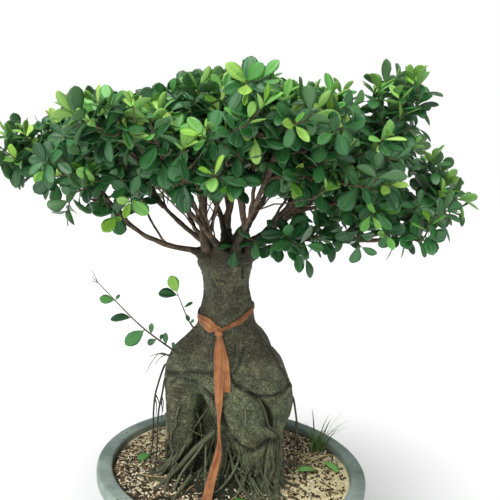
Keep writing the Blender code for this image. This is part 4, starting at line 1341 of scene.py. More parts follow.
def aerial_roots(names, stock, rng):
    """The long hanging roots along their CAD nodes, let into the stock, with side threads."""
    lines = []
    for name in names:
        centres, sizes = centre_line(name, BOXES[name][0])
        rows = smooth_line(np.column_stack([centres, sizes]), 28)
        rows = rows[np.argsort(-rows[:, 2])]
        wave = np.sin(np.linspace(0, 9, len(rows))) * np.linspace(0, 1, len(rows))
        rows[:, 0] += wave * 0.0016
        rows[:, 1] += np.cos(np.linspace(1, 8, len(rows))) * 0.0012
        rows[:, 3] = np.linspace(0.0019, 0.0013, len(rows))
        near, normal = stock.surface.find_nearest(Vector(rows[0, :3]) + UP * 0.012)[:2]
        reach = [(*(near - normal * 0.004), 0.0020), (*(near + normal * 0.002), 0.0020)]
        rows = smooth_line([*reach, *rows[2::3]], 32)
        lines.append((rows, 0.12))
        for _ in range(2):
            mid = rows[rng.integers(8, 24)]
            end = mid[:3] + rng.uniform(-0.012, 0.012, 3) - (0, 0, 0.035)
            twig = smooth_line([mid, (*((mid[:3] + end) / 2 + 0.002), 0.0008), (*end, 0.0005)], 9)
            lines.append((twig, 0.1))
    return lines


def curly_root(stock):
    """The little forked root that curls off the left shoulder."""
    start = stock.spot(0.165, 0.535)
    lines = []
    forks = ((0.034, -0.004, 0.004), (0.040, -0.034, 0.010), (0.024, -0.018, 0.004))
    for reach, drop, curl in forks:
        rows = []
        for t in np.linspace(0, 1, 7):
            x = start.x - reach * t
            z = start.z + drop * t**2 + curl * math.sin(t * 3.2)
            y = start.y - 0.006 * t + 0.004 * math.sin(t * 6 + reach * 90)
            rows.append((x, y, z, 0.0012 * (1.1 - 0.7 * t)))
        lines.append((smooth_line(rows, 18), 0.75))
    return lines


def make_roots(stock):
    """Loose roots: threads over the legs, roots over the soil, and those that hang free."""
    rng = np.random.default_rng(5)
    lines = crawling_roots(stock, rng) + curtain_roots(stock, rng) + front_roots(rng)
    fine = grow_tubes("root_threads", lines, root_finish(), sides=6)
    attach(fine, "root")
    aerial = [name for name in NODES if name.startswith("aerial_root")]
    lines = aerial_roots(aerial, stock, rng) + curly_root(stock)
    hanging = grow_tubes("hanging_roots", lines, root_finish(), sides=8)
    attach(hanging, "root")
    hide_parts(*aerial)


# ---------------------------------------------------------------- limbs, twigs and shoots

# Thin twigs that droop from the limbs' feet in front, as rows of x, y, z and radius, and the
# leaves on them: where each grows, its direction, its face and its length.
LOW_TWIGS = (
    (
        (-0.022, -0.034, 0.576, 0.0016), (-0.024, -0.050, 0.584, 0.0013),
        (-0.023, -0.057, 0.577, 0.0009),
    ),
    (
        (0.016, -0.008, 0.578, 0.0018), (0.060, -0.046, 0.592, 0.0014),
        (0.098, -0.060, 0.573, 0.0009),
    ),
    (
        (-0.010, -0.040, 0.586, 0.0016), (0.000, -0.058, 0.598, 0.0013),
        (0.012, -0.064, 0.596, 0.0009),
    ),
)
LOW_LEAVES = (
    ((-0.023, -0.057, 0.578), (-0.1, -0.12, -1.0), (0.1, -1.0, 0.3), 0.031),
    ((-0.025, -0.052, 0.583), (-1.0, -0.05, -0.05), (0.0, -0.4, 0.9), 0.029),
    ((-0.020, -0.050, 0.584), (0.7, -0.5, 0.3), (-0.2, -0.5, 0.9), 0.030),
    ((0.050, -0.040, 0.592), (0.1, -0.4, -0.9), (0.1, -0.9, 0.4), 0.034),
    ((0.064, -0.048, 0.591), (0.6, -0.4, -0.6), (0.3, -0.8, 0.6), 0.036),
    ((0.084, -0.056, 0.582), (0.2, -0.3, -1.0), (0.2, -1.0, 0.3), 0.036),
    ((0.098, -0.060, 0.574), (0.5, -0.2, -0.9), (0.5, -0.8, 0.3), 0.036),
    ((0.036, -0.030, 0.588), (-0.3, -0.6, -0.5), (-0.1, -0.8, 0.6), 0.034),
    ((0.012, -0.064, 0.596), (0.6, -0.3, 0.2), (0.0, -0.6, 0.8), 0.034),
    ((0.004, -0.060, 0.598), (-0.4, -0.5, 0.5), (-0.1, -0.7, 0.6), 0.034),
    ((0.010, -0.064, 0.597), (0.1, -0.5, -0.8), (0.0, -0.9, 0.4), 0.032),
)


def read_limbs():
    """Each limb's centre line and radius from the frame, from the stock outwards."""
    limbs = {}
    for name in NODES:
        if name.startswith("limb_"):
            centres, sizes = centre_line(name, CROWN_FOOT)
            limbs[name] = np.column_stack([centres, sizes])
    return limbs


def shoot_sites(rng):
    """Where the shoots end and which way they point, and how many of them bear leaves.

    The leafy ones come first. All are spread through the sprays' room, with the bare ones in the
    crown's open heart.
    """
    centre = np.array(CROWN_HEART)
    tries = []
    for name in SPRAYS:
        low, high = (np.array(corner) for corner in BOXES[name])
        middle = (low + high) / 2
        half = (high - low) / 2 + (0.002, 0.002, 0.020 if middle[0] < -0.26 else -0.008)
        for _ in range(TRIES_PER_SPRAY):
            tries.append(middle + rng.uniform(-1, 1, 3) * half)
    tries = np.array(tries)
    rng.shuffle(tries)
    outside = np.linalg.norm((tries - centre) * (1.0, 1.15, 1.9), axis=1)
    order = np.argsort(-outside - rng.uniform(0, 0.12, len(tries)))
    low = np.array(cad_box[0]) + CROWN_MARGIN
    high = np.array(cad_box[1]) - (CROWN_MARGIN, CROWN_MARGIN, CROWN_TOP_MARGIN)
    crown_x, crown_z = np.array(CROWN_TOP).T
    crown_x = cad_box[0].x + crown_x * (cad_box[1].x - cad_box[0].x)
    crown_z = crown_z * cad_box[1].z
    eye = Vector(CAMERA_PLACE)
    kept, bare = [], []
    for spot in tries[order]:
        if (spot < low).any() or (spot > high).any():
            continue
        nearness = eye.y / (eye.y - spot[1])
        outline = np.interp(spot[0] * nearness, crown_x, crown_z)
        if eye.z + (spot[2] - eye.z) * nearness > outline - 0.019:
            continue
        heart = math.exp(-(((spot[0] - HEART_X) / HEART_HALF) ** 2))
        if rng.random() < OPEN_HEART * heart * np.clip((HEART_TOP - spot[2]) / 0.07, 0, 1):
            near = min((np.linalg.norm(spot - other) for other in bare), default=1)
            if near > BARE_SPACING and spot[2] > BARE_LOWEST:
                bare.append(spot)
            continue
        skirt = SKIRT_LEFT if spot[0] < 0 else SKIRT_RIGHT
        if rng.random() > np.clip((spot[2] - skirt) / 0.05, 0.06, 1):
            continue
        if kept and np.linalg.norm(np.array(kept) - spot, axis=1).min() < SHOOT_SPACING:
            continue
        kept.append(spot)
    ends = np.array([*kept, *bare])
    out = (ends - centre) * (1, 1, 0.8)
    out /= np.linalg.norm(out, axis=1)[:, None]
    ways = out + (0, 0, 0.75) + rng.normal(0, 0.28, ends.shape)
    return ends, ways / np.linalg.norm(ways, axis=1)[:, None], len(kept)


def weave_twigs(limbs, sites, ways, rng):
    """Twigs from the limbs to every shoot, each leaving the nearest wood that heads its way."""
    places, headings, parents, widest = [], [], [], []
    for rows in limbs.values():
        fine = smooth_line(rows, 30)
        heading = np.gradient(fine[:, :3], axis=0)
        heading /= np.linalg.norm(heading, axis=1)[:, None]
        for k in range(int(len(fine) * BARE_FOOT_SHARE), len(fine)):
            places.append(fine[k, :3])
            headings.append(heading[k])
            parents.append(-1)
            widest.append(fine[k, 3] * 0.85)
    wood = np.array(places)
    reach = np.array([np.linalg.norm(wood - site, axis=1).min() for site in sites])
    boughs = rng.choice(len(sites), BOUGHS, replace=False)
    rest = [k for k in np.argsort(reach) if k not in set(boughs.tolist())]
    paths = {}
    loads = [0] * len(places)
    for turn, site_index in enumerate([*boughs, *rest]):
        site, way = sites[site_index], ways[site_index]
        gaps = site - np.array(places)
        spans = np.linalg.norm(gaps, axis=1)
        ahead = np.einsum("ij,ij->i", gaps, np.array(headings)) / np.maximum(spans, 1e-6)
        cost = spans * (1.55 - 0.75 * ahead) + np.where(spans < FORK_GAP, 0.2, 0)
        if turn < BOUGHS:
            cost = np.abs(spans - BOUGH_SPAN) * 2 + (1 - ahead) * 0.12
            cost[len(wood) :] += 0.3
        joint = int(cost.argmin())
        span = spans[joint]
        start = places[joint]
        leave = np.array(headings[joint]) * 0.55 + gaps[joint] / span * 0.75 + (0, 0, 0.12)
        t = np.linspace(0, 1, max(5, int(span / TWIG_STEP)))[:, None]
        ease_a = 2 * t**3 - 3 * t**2 + 1
        ease_b = t**3 - 2 * t**2 + t
        ease_c = 3 * t**2 - 2 * t**3
        ease_d = t**3 - t**2
        line = start * ease_a + leave * span * ease_b + site * ease_c + way * span * 0.8 * ease_d
        kinks = rng.normal(0, TWIG_KINK, line.shape)
        kinks[0] = kinks[-1] = 0
        line = line + kinks
        joint_at = joint
        members = []
        tangent = np.gradient(line, axis=0)
        tangent /= np.linalg.norm(tangent, axis=1)[:, None]
        for k in range(1, len(line)):
            places.append(line[k])
            headings.append(tangent[k])
            parents.append(joint_at)
            widest.append(1.0)
            loads.append(0)
            joint_at = len(places) - 1
            members.append(joint_at)
        paths[site_index] = (joint, members)
        while joint_at >= 0:
            loads[joint_at] += 1
            joint_at = parents[joint_at]
    lines = []
    for _, (joint, members) in sorted(paths.items()):
        radii = [min(widest[m], TWIG_TIP * loads[m] ** TWIG_SWELL) for m in members]
        first = min(radii[0] * 1.15, max(widest[joint], TWIG_TIP))
        rows = [(*places[joint], first)] + [(*places[m], r) for m, r in zip(members, radii)]
        rows = np.array(rows)
        single = np.array([True, *(loads[m] < 2 for m in members)])
        lines.append((rows, np.linspace(0, 1, len(rows)) ** 3 * single * 0.9))
    return lines


def make_limbs(limbs, sites, ways):
    """The limbs and all their twigs; gives each woven twig's rows back."""
    rng = np.random.default_rng(23)
    lines = []
    for name, rows in limbs.items():
        inside = rows[0, :3] * 0.45 + np.array((NECK_X, 0.0, rows[0, 2] - 0.012)) * 0.55
        rows = np.vstack([np.append(inside, rows[0, 3] * 0.8), rows])
        fine = smooth_line(rows, 64)
        thin, wide = (1.0, 0.05) if name == "limb_leader" else (LIMB_THIN, 0.5)
        flare = np.exp(-np.linspace(0, 9, len(fine))) * wide
        swell = rough(fine[:, :3], 60) * 0.10 + rough(fine[:, :3], 170) * 0.06
        fine[:, 3] = np.maximum(fine[:, 3] * (thin + flare + swell), 0.0016)
        fine[:, 0] += rough(fine[:, :3], 45) * 0.0012
        fine[:, 2] += rough(fine[:, :3] + 3, 45) * 0.0012
        lines.append((fine, 0.0))
    wood = grow_tubes("limbs_of_fig", lines, twig_finish(), sides=14)
    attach(wood, "root")
    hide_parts(*limbs)
    woven = weave_twigs(limbs, sites, ways, rng)
    low_twigs = [(smooth_line(rows, 16), 0.1) for rows in LOW_TWIGS]
    twigs = grow_tubes("fig_twigs", [*woven, *low_twigs], twig_finish(), sides=6)
    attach(twigs, "root")
    return [rows for rows, _ in woven]


# ---------------------------------------------------------------- leaves


def leaf_mesh(name, widest, arch, fold, twist, broad):
    """One leaf, 1 long along +X with its upper side to +Z: a thin closed lens with a stalk.

    It is broad across at the share widest of its length, arched down, folded and twisted.
    """
    stations = np.array((0.0, 0.10, 0.22, 0.40, 0.60, 0.80, 0.93))
    shares = np.array((-1.0, -0.5, 0.0, 0.5, 1.0))
    points, blade = [], []
    for upper in (1, 0):
        for along in stations:
            body = max(0.0, (along - 0.08) / 0.92)
            power = math.log(0.5) / math.log(widest)
            width = broad / 2 * math.sin(math.pi * body**power) ** 0.62 if body > 0 else 0.0
            width = max(width, 0.022)
            for share in shares:
                if upper == 0 and abs(share) == 1:
                    continue
                y = width * share
                lift = fold * abs(share) ** 1.4 * width - arch * along**2 + twist * y * along
                thick = 0.012 if upper else -0.010
                groove = 0.010 if share == 0 and upper and along > 0.1 else 0.0
                lift += thick * (1 - share**2) - groove
                points.append((along, y, lift))
                blade.append((along, share, 0.5 if abs(share) == 1 else upper))
    tip = len(points)
    points.append((1.0, 0.0, -arch))
    blade.append((1.0, 0.0, 0.5))
    count = len(stations)

    def index(upper, row, column):
        if upper or column in (0, 4):
            return row * 5 + column
        return count * 5 + row * 3 + column - 1

    faces = []
    for upper in (1, 0):
        for row in range(count - 1):
            for column in range(4):
                a, b = index(upper, row, column), index(upper, row + 1, column)
                c, d = index(upper, row + 1, column + 1), index(upper, row, column + 1)
                faces.append((a, b, c, d) if upper else (d, c, b, a))
        for column in range(4):
            a, b = index(upper, count - 1, column), index(upper, count - 1, column + 1)
            faces.append((a, tip, b) if upper else (b, tip, a))
    stalk_end = [index(1, 0, c) for c in range(5)] + [index(0, 0, c) for c in (3, 2, 1)]
    faces.append(tuple(stalk_end))
    mesh = mesh_of(name, points, faces=faces)
    store(mesh, "blade", blade)
    mesh.shade_smooth()
    return mesh


# The leaf shapes: where each is widest, its arch, fold and twist, and its share of the width.
# The last is a young leaf, still folded.
LEAF_SHAPES = (
    (0.60, 0.08, 0.10, 0.0, 1.0), (0.64, 0.20, 0.20, 0.25, 1.0), (0.58, 0.14, 0.32, -0.30, 0.92),
    (0.66, -0.06, 0.16, 0.10, 1.08), (0.62, 0.30, 0.12, -0.10, 0.85),
    (0.56, -0.12, 0.50, 0.0, 0.70),
)
YOUNG_KIND = len(LEAF_SHAPES) - 1


def leaf_shapes():
    """The leaf shapes as a kit for set_out."""
    leaves = []
    for k, (*form, share) in enumerate(LEAF_SHAPES):
        leaves.append(leaf_mesh(f"leaf_{k}", *form, LEAF_WIDTH * share))
    return shape_kit("leaf_kit", leaves)


class Foliage:
    """Collects leaves: where each grows, its direction, its face, its size, kind, age, which also
    carries painted light and shade, and tint.
    """

    def __init__(self, seed):
        self.rng = np.random.default_rng(seed)
        self.rows = []

    def leaf(self, place, grow, face, length, age, young=False):
        folded = young and self.rng.random() < 0.5
        kind = YOUNG_KIND if folded else int(self.rng.integers(0, YOUNG_KIND))
        self.rows.append((*place, *grow, *face, length, kind, age, self.rng.random()))

    def rosette(self, twig, count, flush, lit):
        """A shoot's leaves: broad and spreading below, young and upright at its twig's end."""
        rng = self.rng
        back = twig[::-1]
        reach = np.append(0, np.cumsum(np.linalg.norm(np.diff(back, axis=0), axis=1)))
        way = back[0] - back[2]
        way = way / np.linalg.norm(way)
        side = np.cross(way, (0.3, 0.2, 0.93))
        side /= np.linalg.norm(side)
        other = np.cross(way, side)
        turn = rng.uniform(0, 2 * math.pi)
        for k in range(count):
            share = k / max(1, count - 1)
            angle = turn + k * GOLDEN_ANGLE + rng.uniform(-0.25, 0.25)
            outward = side * math.cos(angle) + other * math.sin(angle)
            lean = math.radians(88 - 52 * share**1.2 + rng.uniform(-11, 11))
            grow = way * math.cos(lean) + outward * math.sin(lean)
            grow = grow + np.array((0, 0, -0.20)) * (1 - share) * rng.uniform(0.3, 1.4)
            face = way * math.sin(lean) - outward * math.cos(lean) + (0, 0, 0.45)
            face = face + rng.normal(0, 0.16, 3)
            length = LEAF_LENGTH * (1.02 - 0.30 * share**2) * rng.uniform(0.82, 1.12)
            # Painted light: on lit shoots the older leaves are made younger and lighter green.
            age = 1.0 - rng.uniform(0.15, 0.75) * share * lit
            young = flush and share > OPEN_TIP_SHARE
            if young:
                age = rng.uniform(0.0, 0.45)
            distance = SHOOT_STEM * (1 - share)
            place = [np.interp(distance, reach, back[:, axis]) for axis in range(3)]
            self.leaf(place, grow, face, length, age, young)

    def spots(self, low=-1.0, high=1.0):
        """The leaves from low to high across the plant, as the arrays that set_out takes."""
        rows = np.array(self.rows)
        rows = rows[(rows[:, 0] >= low) & (rows[:, 0] < high)]
        vectors = {key: rows[:, k : k + 3] for key, k in (("place", 0), ("grow", 3), ("face", 6))}
        return vectors | dict(zip(("size", "kind", "age", "tint"), rows[:, 9:].T))


def make_crown(kit, finish, twigs, bare_twigs):
    """The crown's leaves, as five pieces from its left to its right."""
    foliage = Foliage(41)
    rng = np.random.default_rng(8)
    sites = np.array([twig[-1, :3] for twig in twigs])
    top = sites[:, 2]
    for spot, twig in zip(sites, twigs):
        over = (top > spot[2] + 0.02) & (np.hypot(*(sites[:, :2] - spot[:2]).T) < 0.06)
        shaded = min(1.0, over.sum() / 3)
        front = float(np.clip((-spot[1] - 0.06) / 0.14, 0, 1))
        bright = max(1 - shaded, front * 0.75)
        flush = rng.random() < 0.60 * bright + 0.08
        pale_top = abs(spot[0] - 0.09) < 0.07 and spot[2] > 0.80
        count = int(rng.integers(*((7, 12) if shaded < 0.7 else (5, 8))))
        # Painted light and shade: lit shoots get lighter leaves and more young ones, and shaded
        # shoots get dark mature leaves.
        lit = bright * np.clip((spot[2] - 0.70) / 0.09, 0.1, 1)
        flush = flush or (pale_top and rng.random() < 0.7)
        foliage.rosette(twig[:, :3], count, flush, lit)
    for twig in bare_twigs:
        if rng.random() < 0.35:
            foliage.rosette(twig[:, :3], int(rng.integers(1, 4)), False, 0.0)
    for place, grow, face, length in LOW_LEAVES:
        foliage.leaf(place, grow, face, length, 1.0)
    centres = {name: sum(BOXES[name], Vector()).x / 2 for name in SPRAYS}
    for side, low, high in CROWN_PARTS:
        piece = set_out(f"crown_leaves_{side}", kit, finish, foliage.spots(low, high))
        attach(piece, "root")
        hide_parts(*[name for name in SPRAYS if low <= centres[name] < high])


# The shoulder shoots' leaves: rows of how far along the shoot, the way the leaf points (degrees
# up from +X), how far its face tips off the front, its size and its age.
SHOULDER_LEAVES = {
    "shoulder_shoot_lower": (
        (0.08, 70, 10, 0.34, 0.95), (0.18, 100, 20, 0.50, 0.85), (0.24, 80, -20, 0.30, 0.90),
        (0.30, -150, 30, 0.46, 1.00), (0.38, 95, 10, 0.44, 0.80), (0.44, -140, 10, 0.98, 0.75),
        (0.62, -176, 62, 0.92, 1.00), (0.80, 172, 20, 0.62, 0.62), (0.80, 60, 40, 0.30, 0.90),
    ),
    "shoulder_shoot_upper": (
        (0.25, 60, 30, 0.22, 1.00), (0.60, -60, 10, 0.34, 1.00), (0.74, 38, 60, 0.46, 1.00),
        (0.96, 172, 70, 0.80, 0.95), (1.00, 112, 5, 0.78, 0.10),
    ),
}

# How far inside its node's box each shoot ends, from the left and from the top.
SHOOT_ENDS = {"shoulder_shoot_lower": (0.022, 0.020), "shoulder_shoot_upper": (0.052, 0.030)}

# The bare forked tips of a shoot: how far each leans up or down.
FORK_TIPS = {"shoulder_shoot_lower": (-0.5, 0.1, 0.9)}


def make_shoulder_shoots(kit, finish):
    """The two thin shoots on the left shoulder, each with a few leaves spaced along it."""
    foliage = Foliage(17)
    rng = np.random.default_rng(3)
    lines = []
    for name in SHOULDER_LEAVES:
        low, high = BOXES[name]
        start = np.array((high.x - 0.002, (low.y + high.y) / 2 + 0.012, low.z + 0.004))
        inset, drop = SHOOT_ENDS[name]
        end = np.array((low.x + inset, low.y + 0.040, high.z - drop))
        middle = (start + end) / 2 + (0.004, 0, -0.012)
        rows = smooth_line([(*start, 0.0019), (*middle, 0.0013), (*end, 0.0007)], 26)
        lines.append((rows, np.linspace(0.1, 0.6, 26)))
        way = (end - start) / np.linalg.norm(end - start)
        for share, turn, tilt, size, age in SHOULDER_LEAVES[name]:
            spot = rows[int(share * 25), :3]
            angle = math.radians(turn)
            grow = np.array((math.cos(angle), rng.uniform(-0.3, 0.2), math.sin(angle)))
            upright = math.radians(tilt)
            face = np.array((-math.sin(angle) * math.sin(upright), -math.cos(upright), 0.5))
            foliage.leaf(spot, grow, face + rng.normal(0, 0.12, 3), SHOULDER_LEAF * size, age)
        for spread in FORK_TIPS.get(name, ()):
            tip = end + (way + (0, 0, spread)) * 0.014
            lines.append((smooth_line([(*end, 0.0007), (*tip, 0.0004)], 6), 0.4))
    shoots = grow_tubes("shoulder_twigs", lines, twig_finish(), sides=6)
    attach(shoots, "root")
    leaves = set_out("shoulder_leaves", kit, finish, foliage.spots())
    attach(leaves, "root")
    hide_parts("shoulder_shoot_lower", "shoulder_shoot_upper")


# ---------------------------------------------------------------- the cloth tie


# Each tail: how deep its pleats are, how many, how far behind the CAD's line it hangs, and then
# rows of how far down it, how far aside from the knot, its half width and its turn in degrees.
TAILS = {
    "tie_long_tail": (
        0.0016,
        1.3,
        0.0,
        (
            (0.00, 0.000, 0.0022, 0), (0.04, 0.001, 0.0050, 0), (0.12, 0.004, 0.0098, -6),
            (0.20, 0.006, 0.0096, -8), (0.30, 0.007, 0.0082, 4), (0.42, 0.009, 0.0068, 20),
            (0.54, 0.011, 0.0062, 62), (0.62, 0.013, 0.0060, 66), (0.72, 0.015, 0.0062, 36),
            (0.80, 0.0135, 0.0070, 12), (0.90, 0.008, 0.0078, 0), (1.00, 0.001, 0.0084, 0),
        ),
    ),
    "tie_short_tail": (
        0.0012,
        1.0,
        0.0030,
        (
            (0.00, 0.001, 0.0020, 0), (0.20, 0.006, 0.0050, 6), (0.45, 0.013, 0.0072, 10),
            (0.75, 0.018, 0.0078, 12), (1.00, 0.021, 0.0072, 12),
        ),
    ),
}


# How high the band lies, of its whole rise, at each share of its way round to the left.
BAND_RISE = (
    (0, 0), (0.10, 0.42), (0.24, 1), (0.45, 0.95),
    (0.62, 0.72), (0.78, 0.42), (0.90, 0.18), (1, 0),
)


def strip_rows(rows, columns, pleat):
    """A pleated strip's points, faces, and places across and along the cloth.

    A row is its centre, half-width vector, normal, pleat depth and how far along the cloth it is.
    """
    points, across, run = [], [], []
    for k, (centre, half, normal, depth, travelled) in enumerate(rows):
        for column in range(columns):
            share = column / (columns - 1) * 2 - 1
            fold = math.sin(share * math.pi * pleat + k * 0.05) * depth
            points.append(centre + half * share + normal * fold)
            across.append(share * half.length)
            run.append(travelled)
    faces = []
    for k in range(len(rows) - 1):
        for column in range(columns - 1):
            a = k * columns + column
            faces.append((a, a + columns, a + columns + 1, a + 1))
    return points, faces, across, run


def make_tie(stock):
    """The cloth tie: a bunched band round the neck, a small knot and two hanging tails."""
    low, high = BOXES["tie_band"]
    knot_low, knot_high = BOXES["tie_knot"]
    knot = (knot_low + knot_high) / 2
    axis = Vector(((low.x + high.x) / 2, (low.y + high.y) / 2, 0))
    start_angle = math.atan2(knot.y - axis.y, knot.x - axis.x)
    ring = []
    for k in range(BAND_STEPS + 1):
        turn = k / BAND_STEPS
        angle = start_angle + 2 * math.pi * turn
        rise = float(np.interp(turn, *zip(*BAND_RISE)))
        level = knot.z + 0.002 + (high.z - 0.012 - knot.z) * rise
        spots = []
        half_width = 0.0026 + 0.0026 * min(1, turn * 9) + 0.005 * max(0, turn - 0.78) / 0.1
        if turn > 0.93:
            half_width *= max(0.35, (1 - turn) / 0.07)
        for side in (-1, 0, 1):
            centre = Vector((axis.x, axis.y, level + side * half_width))
            way = Vector((math.cos(angle), math.sin(angle), 0))
            place = stock.surface.ray_cast(centre + way * 0.3, -way)[0]
            spots.append(place if place else centre + way * 0.045)
        ring.append((spots, half_width, way))
    rows = []
    travelled = 0.0
    smoothed = np.array([[tuple(p) for p in spots] for spots, _, _ in ring])
    for _ in range(6):
        smoothed[1:-1] = (smoothed[:-2] + 2 * smoothed[1:-1] + smoothed[2:]) / 4
    for k, (_, half_width, way) in enumerate(ring):
        bottom, centre, top = (Vector(p) for p in smoothed[k])
        half = (top - bottom).normalized() * half_width
        if k:
            travelled += (centre - rows[-1][0]).length
        rows.append((centre + way * BAND_STAND_OFF, half, way, BAND_PLEAT, travelled))
    pieces = [strip_rows(rows, STRIP_COLUMNS, 2.5)]
    pieces.extend(tail_rows(name, knot, stock) for name in TAILS)
    pieces.extend(knot_rows(knot))
    points, faces, across, run = [], [], [], []
    for more_points, more_faces, more_across, more_run in pieces:
        first = len(points)
        points.extend(more_points)
        faces.extend(tuple(first + k for k in face) for face in more_faces)
        across.extend(more_across)
        run.extend(more_run)
    attributes = {"across": across, "run": run}
    tie = from_arrays("tie_strip", points, faces, cloth_finish(), attributes)
    wall = tie.modifiers.new("cloth", "SOLIDIFY")
    wall.thickness = CLOTH_THICK
    wall.offset = 0.0
    tie = evaluated(tie, "tie_strip")
    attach(tie, "root")
    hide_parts("tie_band", "tie_knot", "tie_long_tail", "tie_short_tail")


def tail_rows(name, knot, stock):
    """A tail that hangs from the knot in its CAD node's room, creased and half turned."""
    depth, pleat, back, form = TAILS[name]
    centres = centre_line(name, knot)[0]
    centres = centres[np.argsort(centres[:, 2])]
    low = BOXES[name][0]
    form = smooth_line(form, 90)
    rows = []
    travelled = 0.0
    heights = knot.z - 0.002 - (knot.z - low.z - 0.002) * form[:, 0]
    fronts = np.interp(heights, centres[:, 2], centres[:, 1]) + back
    fronts[:8] = np.linspace(knot.y - 0.003, fronts[8], 8)
    for k, (z, (_, aside, half_width, _)) in enumerate(zip(heights, form)):
        for x in (-half_width, 0.0, half_width):
            start = Vector((knot.x + aside + x, -1, z))
            hit = stock.surface.ray_cast(start, Vector((0, 1, 0)))[0]
            if hit:
                fronts[k] = min(fronts[k], hit.y - depth - 0.0035 + back)
    for _ in range(12):
        fronts[1:-1] = np.minimum(fronts[1:-1], (fronts[:-2] + fronts[2:]) / 2)
    for k, (_, aside, half_width, turn) in enumerate(form):
        centre = Vector((knot.x + aside, fronts[k], heights[k]))
        angle = math.radians(turn)
        side = Vector((math.cos(angle), -math.sin(angle), 0))
        normal = Vector((-math.sin(angle), -math.cos(angle), 0))
        if k:
            travelled += (centre - rows[-1][0]).length
        rows.append((centre, side * half_width, normal, depth, travelled))
    return strip_rows(rows, STRIP_COLUMNS, pleat)


def knot_rows(knot):
    """The knot: two short turns of the strip wrapped over each other."""
    turns = []
    for tilt, size in ((0.5, 0.0062), (-0.6, 0.0055)):
        rows = []
        lean = Vector((math.sin(tilt), 0, math.cos(tilt)))
        side = Vector((math.cos(tilt), 0, -math.sin(tilt)))
        for k in range(25):
            angle = 2 * math.pi * k / 24
            way = side * math.cos(angle) + Vector((0, 1, 0)) * math.sin(angle) * 0.62
            centre = knot + way * size + Vector((0, -0.001, 0))
            rows.append((centre, lean * 0.0042, way.normalized(), 0.0008, angle * size))
        turns.append(strip_rows(rows, 9, 1.5))
    return turns


# ---------------------------------------------------------------- litter on the soil


def chip_mesh(name, seed, wide, thick):
    """A broken chip about 1 long: a low slab with uneven edges and softened corners."""
    rng = np.random.default_rng(seed)
    sides = 7
    points = []
    for level, shrink in ((-1, 0.86), (0.1, 1.0), (1, 0.80)):
        for k in range(sides):
            angle = 2 * math.pi * k / sides
            bump = rng.uniform(0.78, 1.12)
            x = math.cos(angle) / 2 * bump * shrink
            y = math.sin(angle) * wide / 2 * bump * shrink
            points.append((x, y, level * thick / 2 * rng.uniform(0.7, 1.3)))
    faces = [tuple(range(sides))[::-1], tuple(range(2 * sides, 3 * sides))]
    for ring in range(2):
        for k in range(sides):
            a = ring * sides + k
            b = ring * sides + (k + 1) % sides
            faces.append((a, b, b + sides, a + sides))
    return mesh_of(name, points, faces=faces)


def scatter_litter(name, kit, finish, rng, count, sizes, field, tilt, sink):
    """Lays pieces over the soil where field(x, y), from 0 to 1, lets them lie."""
    edge = BOXES["soil"][1].x - 0.008
    spread = edge * np.sqrt(rng.random(count * 4))
    angle = rng.uniform(0, 2 * math.pi, count * 4)
    x, y = spread * np.cos(angle), spread * np.sin(angle)
    keep = rng.random(count * 4) < field(x, y)
    x, y = x[keep][:count], y[keep][:count]
    z = soil_level(x, y) + soil_relief(x, y)
    size = rng.uniform(*sizes, len(x))
    heading = rng.uniform(0, 2 * math.pi, len(x))
    grow = np.column_stack([np.cos(heading), np.sin(heading), rng.normal(0, tilt, len(x))])
    face = np.column_stack([rng.normal(0, tilt, (len(x), 2)), np.ones(len(x))])
    spots = {
        "place": np.column_stack([x, y, z + size * sink]),
        "grow": grow,
        "face": face,
        "size": size,
        "kind": rng.integers(0, 4, len(x)),
        "tint": rng.random(len(x)),
    }
    piece = set_out(name, kit, finish, spots)
    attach(piece, "root")


def chip_kit(name, seed, wide, thick):
    """Four chips of one sort, for set_out."""
    chips = [chip_mesh(f"{name}_{k}", seed + k, wide, thick) for k in range(4)]
    return shape_kit(name, chips)


def make_litter():
    """Bark chips, pale chips, sawdust and crumbs of earth, each where the soil shows it."""
    rng = np.random.default_rng(77)
    slabs = chip_kit("slab", 0, 0.55, 0.22)
    flakes = chip_kit("flake", 9, 0.45, 0.14)
    crumbs = chip_kit("crumb", 20, 0.8, 0.6)
    brown = chip_finish("bark_chip", rgb(44, 34, 25), rgb(132, 106, 78), 0.85)
    cream = chip_finish("cream_chip", rgb(190, 170, 128), rgb(252, 244, 212), 0.8)
    dust_finish = chip_finish("sawdust_grain", rgb(190, 170, 120), rgb(246, 234, 190), 0.9)
    earth = chip_finish("earth_crumb", rgb(26, 25, 18), rgb(72, 66, 48), 0.95)

    def bare(x, y):
        dust, moss = litter_fields(x, y)
        return np.clip(1 - moss * 0.95, 0.02, 1) * (1 - np.clip(dust, 0, 1) * 0.80)

    def loose(x, y):
        return 0.9 - litter_fields(x, y)[1] * 0.55

    def dusty(x, y):
        return np.clip(litter_fields(x, y)[0] * 1.3, 0.02, 1)

    scatter_litter("bark_chips", slabs, brown, rng, 1500, (0.0055, 0.0135), bare, 0.28, 0.06)
    scatter_litter("cream_chips", flakes, cream, rng, 3200, (0.0038, 0.0092), bare, 0.35, 0.15)
    scatter_litter("sawdust", flakes, dust_finish, rng, 4200, (0.0018, 0.0052), dusty, 0.3, 0.1)
    scatter_litter("earth_crumbs", crumbs, earth, rng, 2200, (0.0022, 0.0058), loose, 0.5, 0.1)


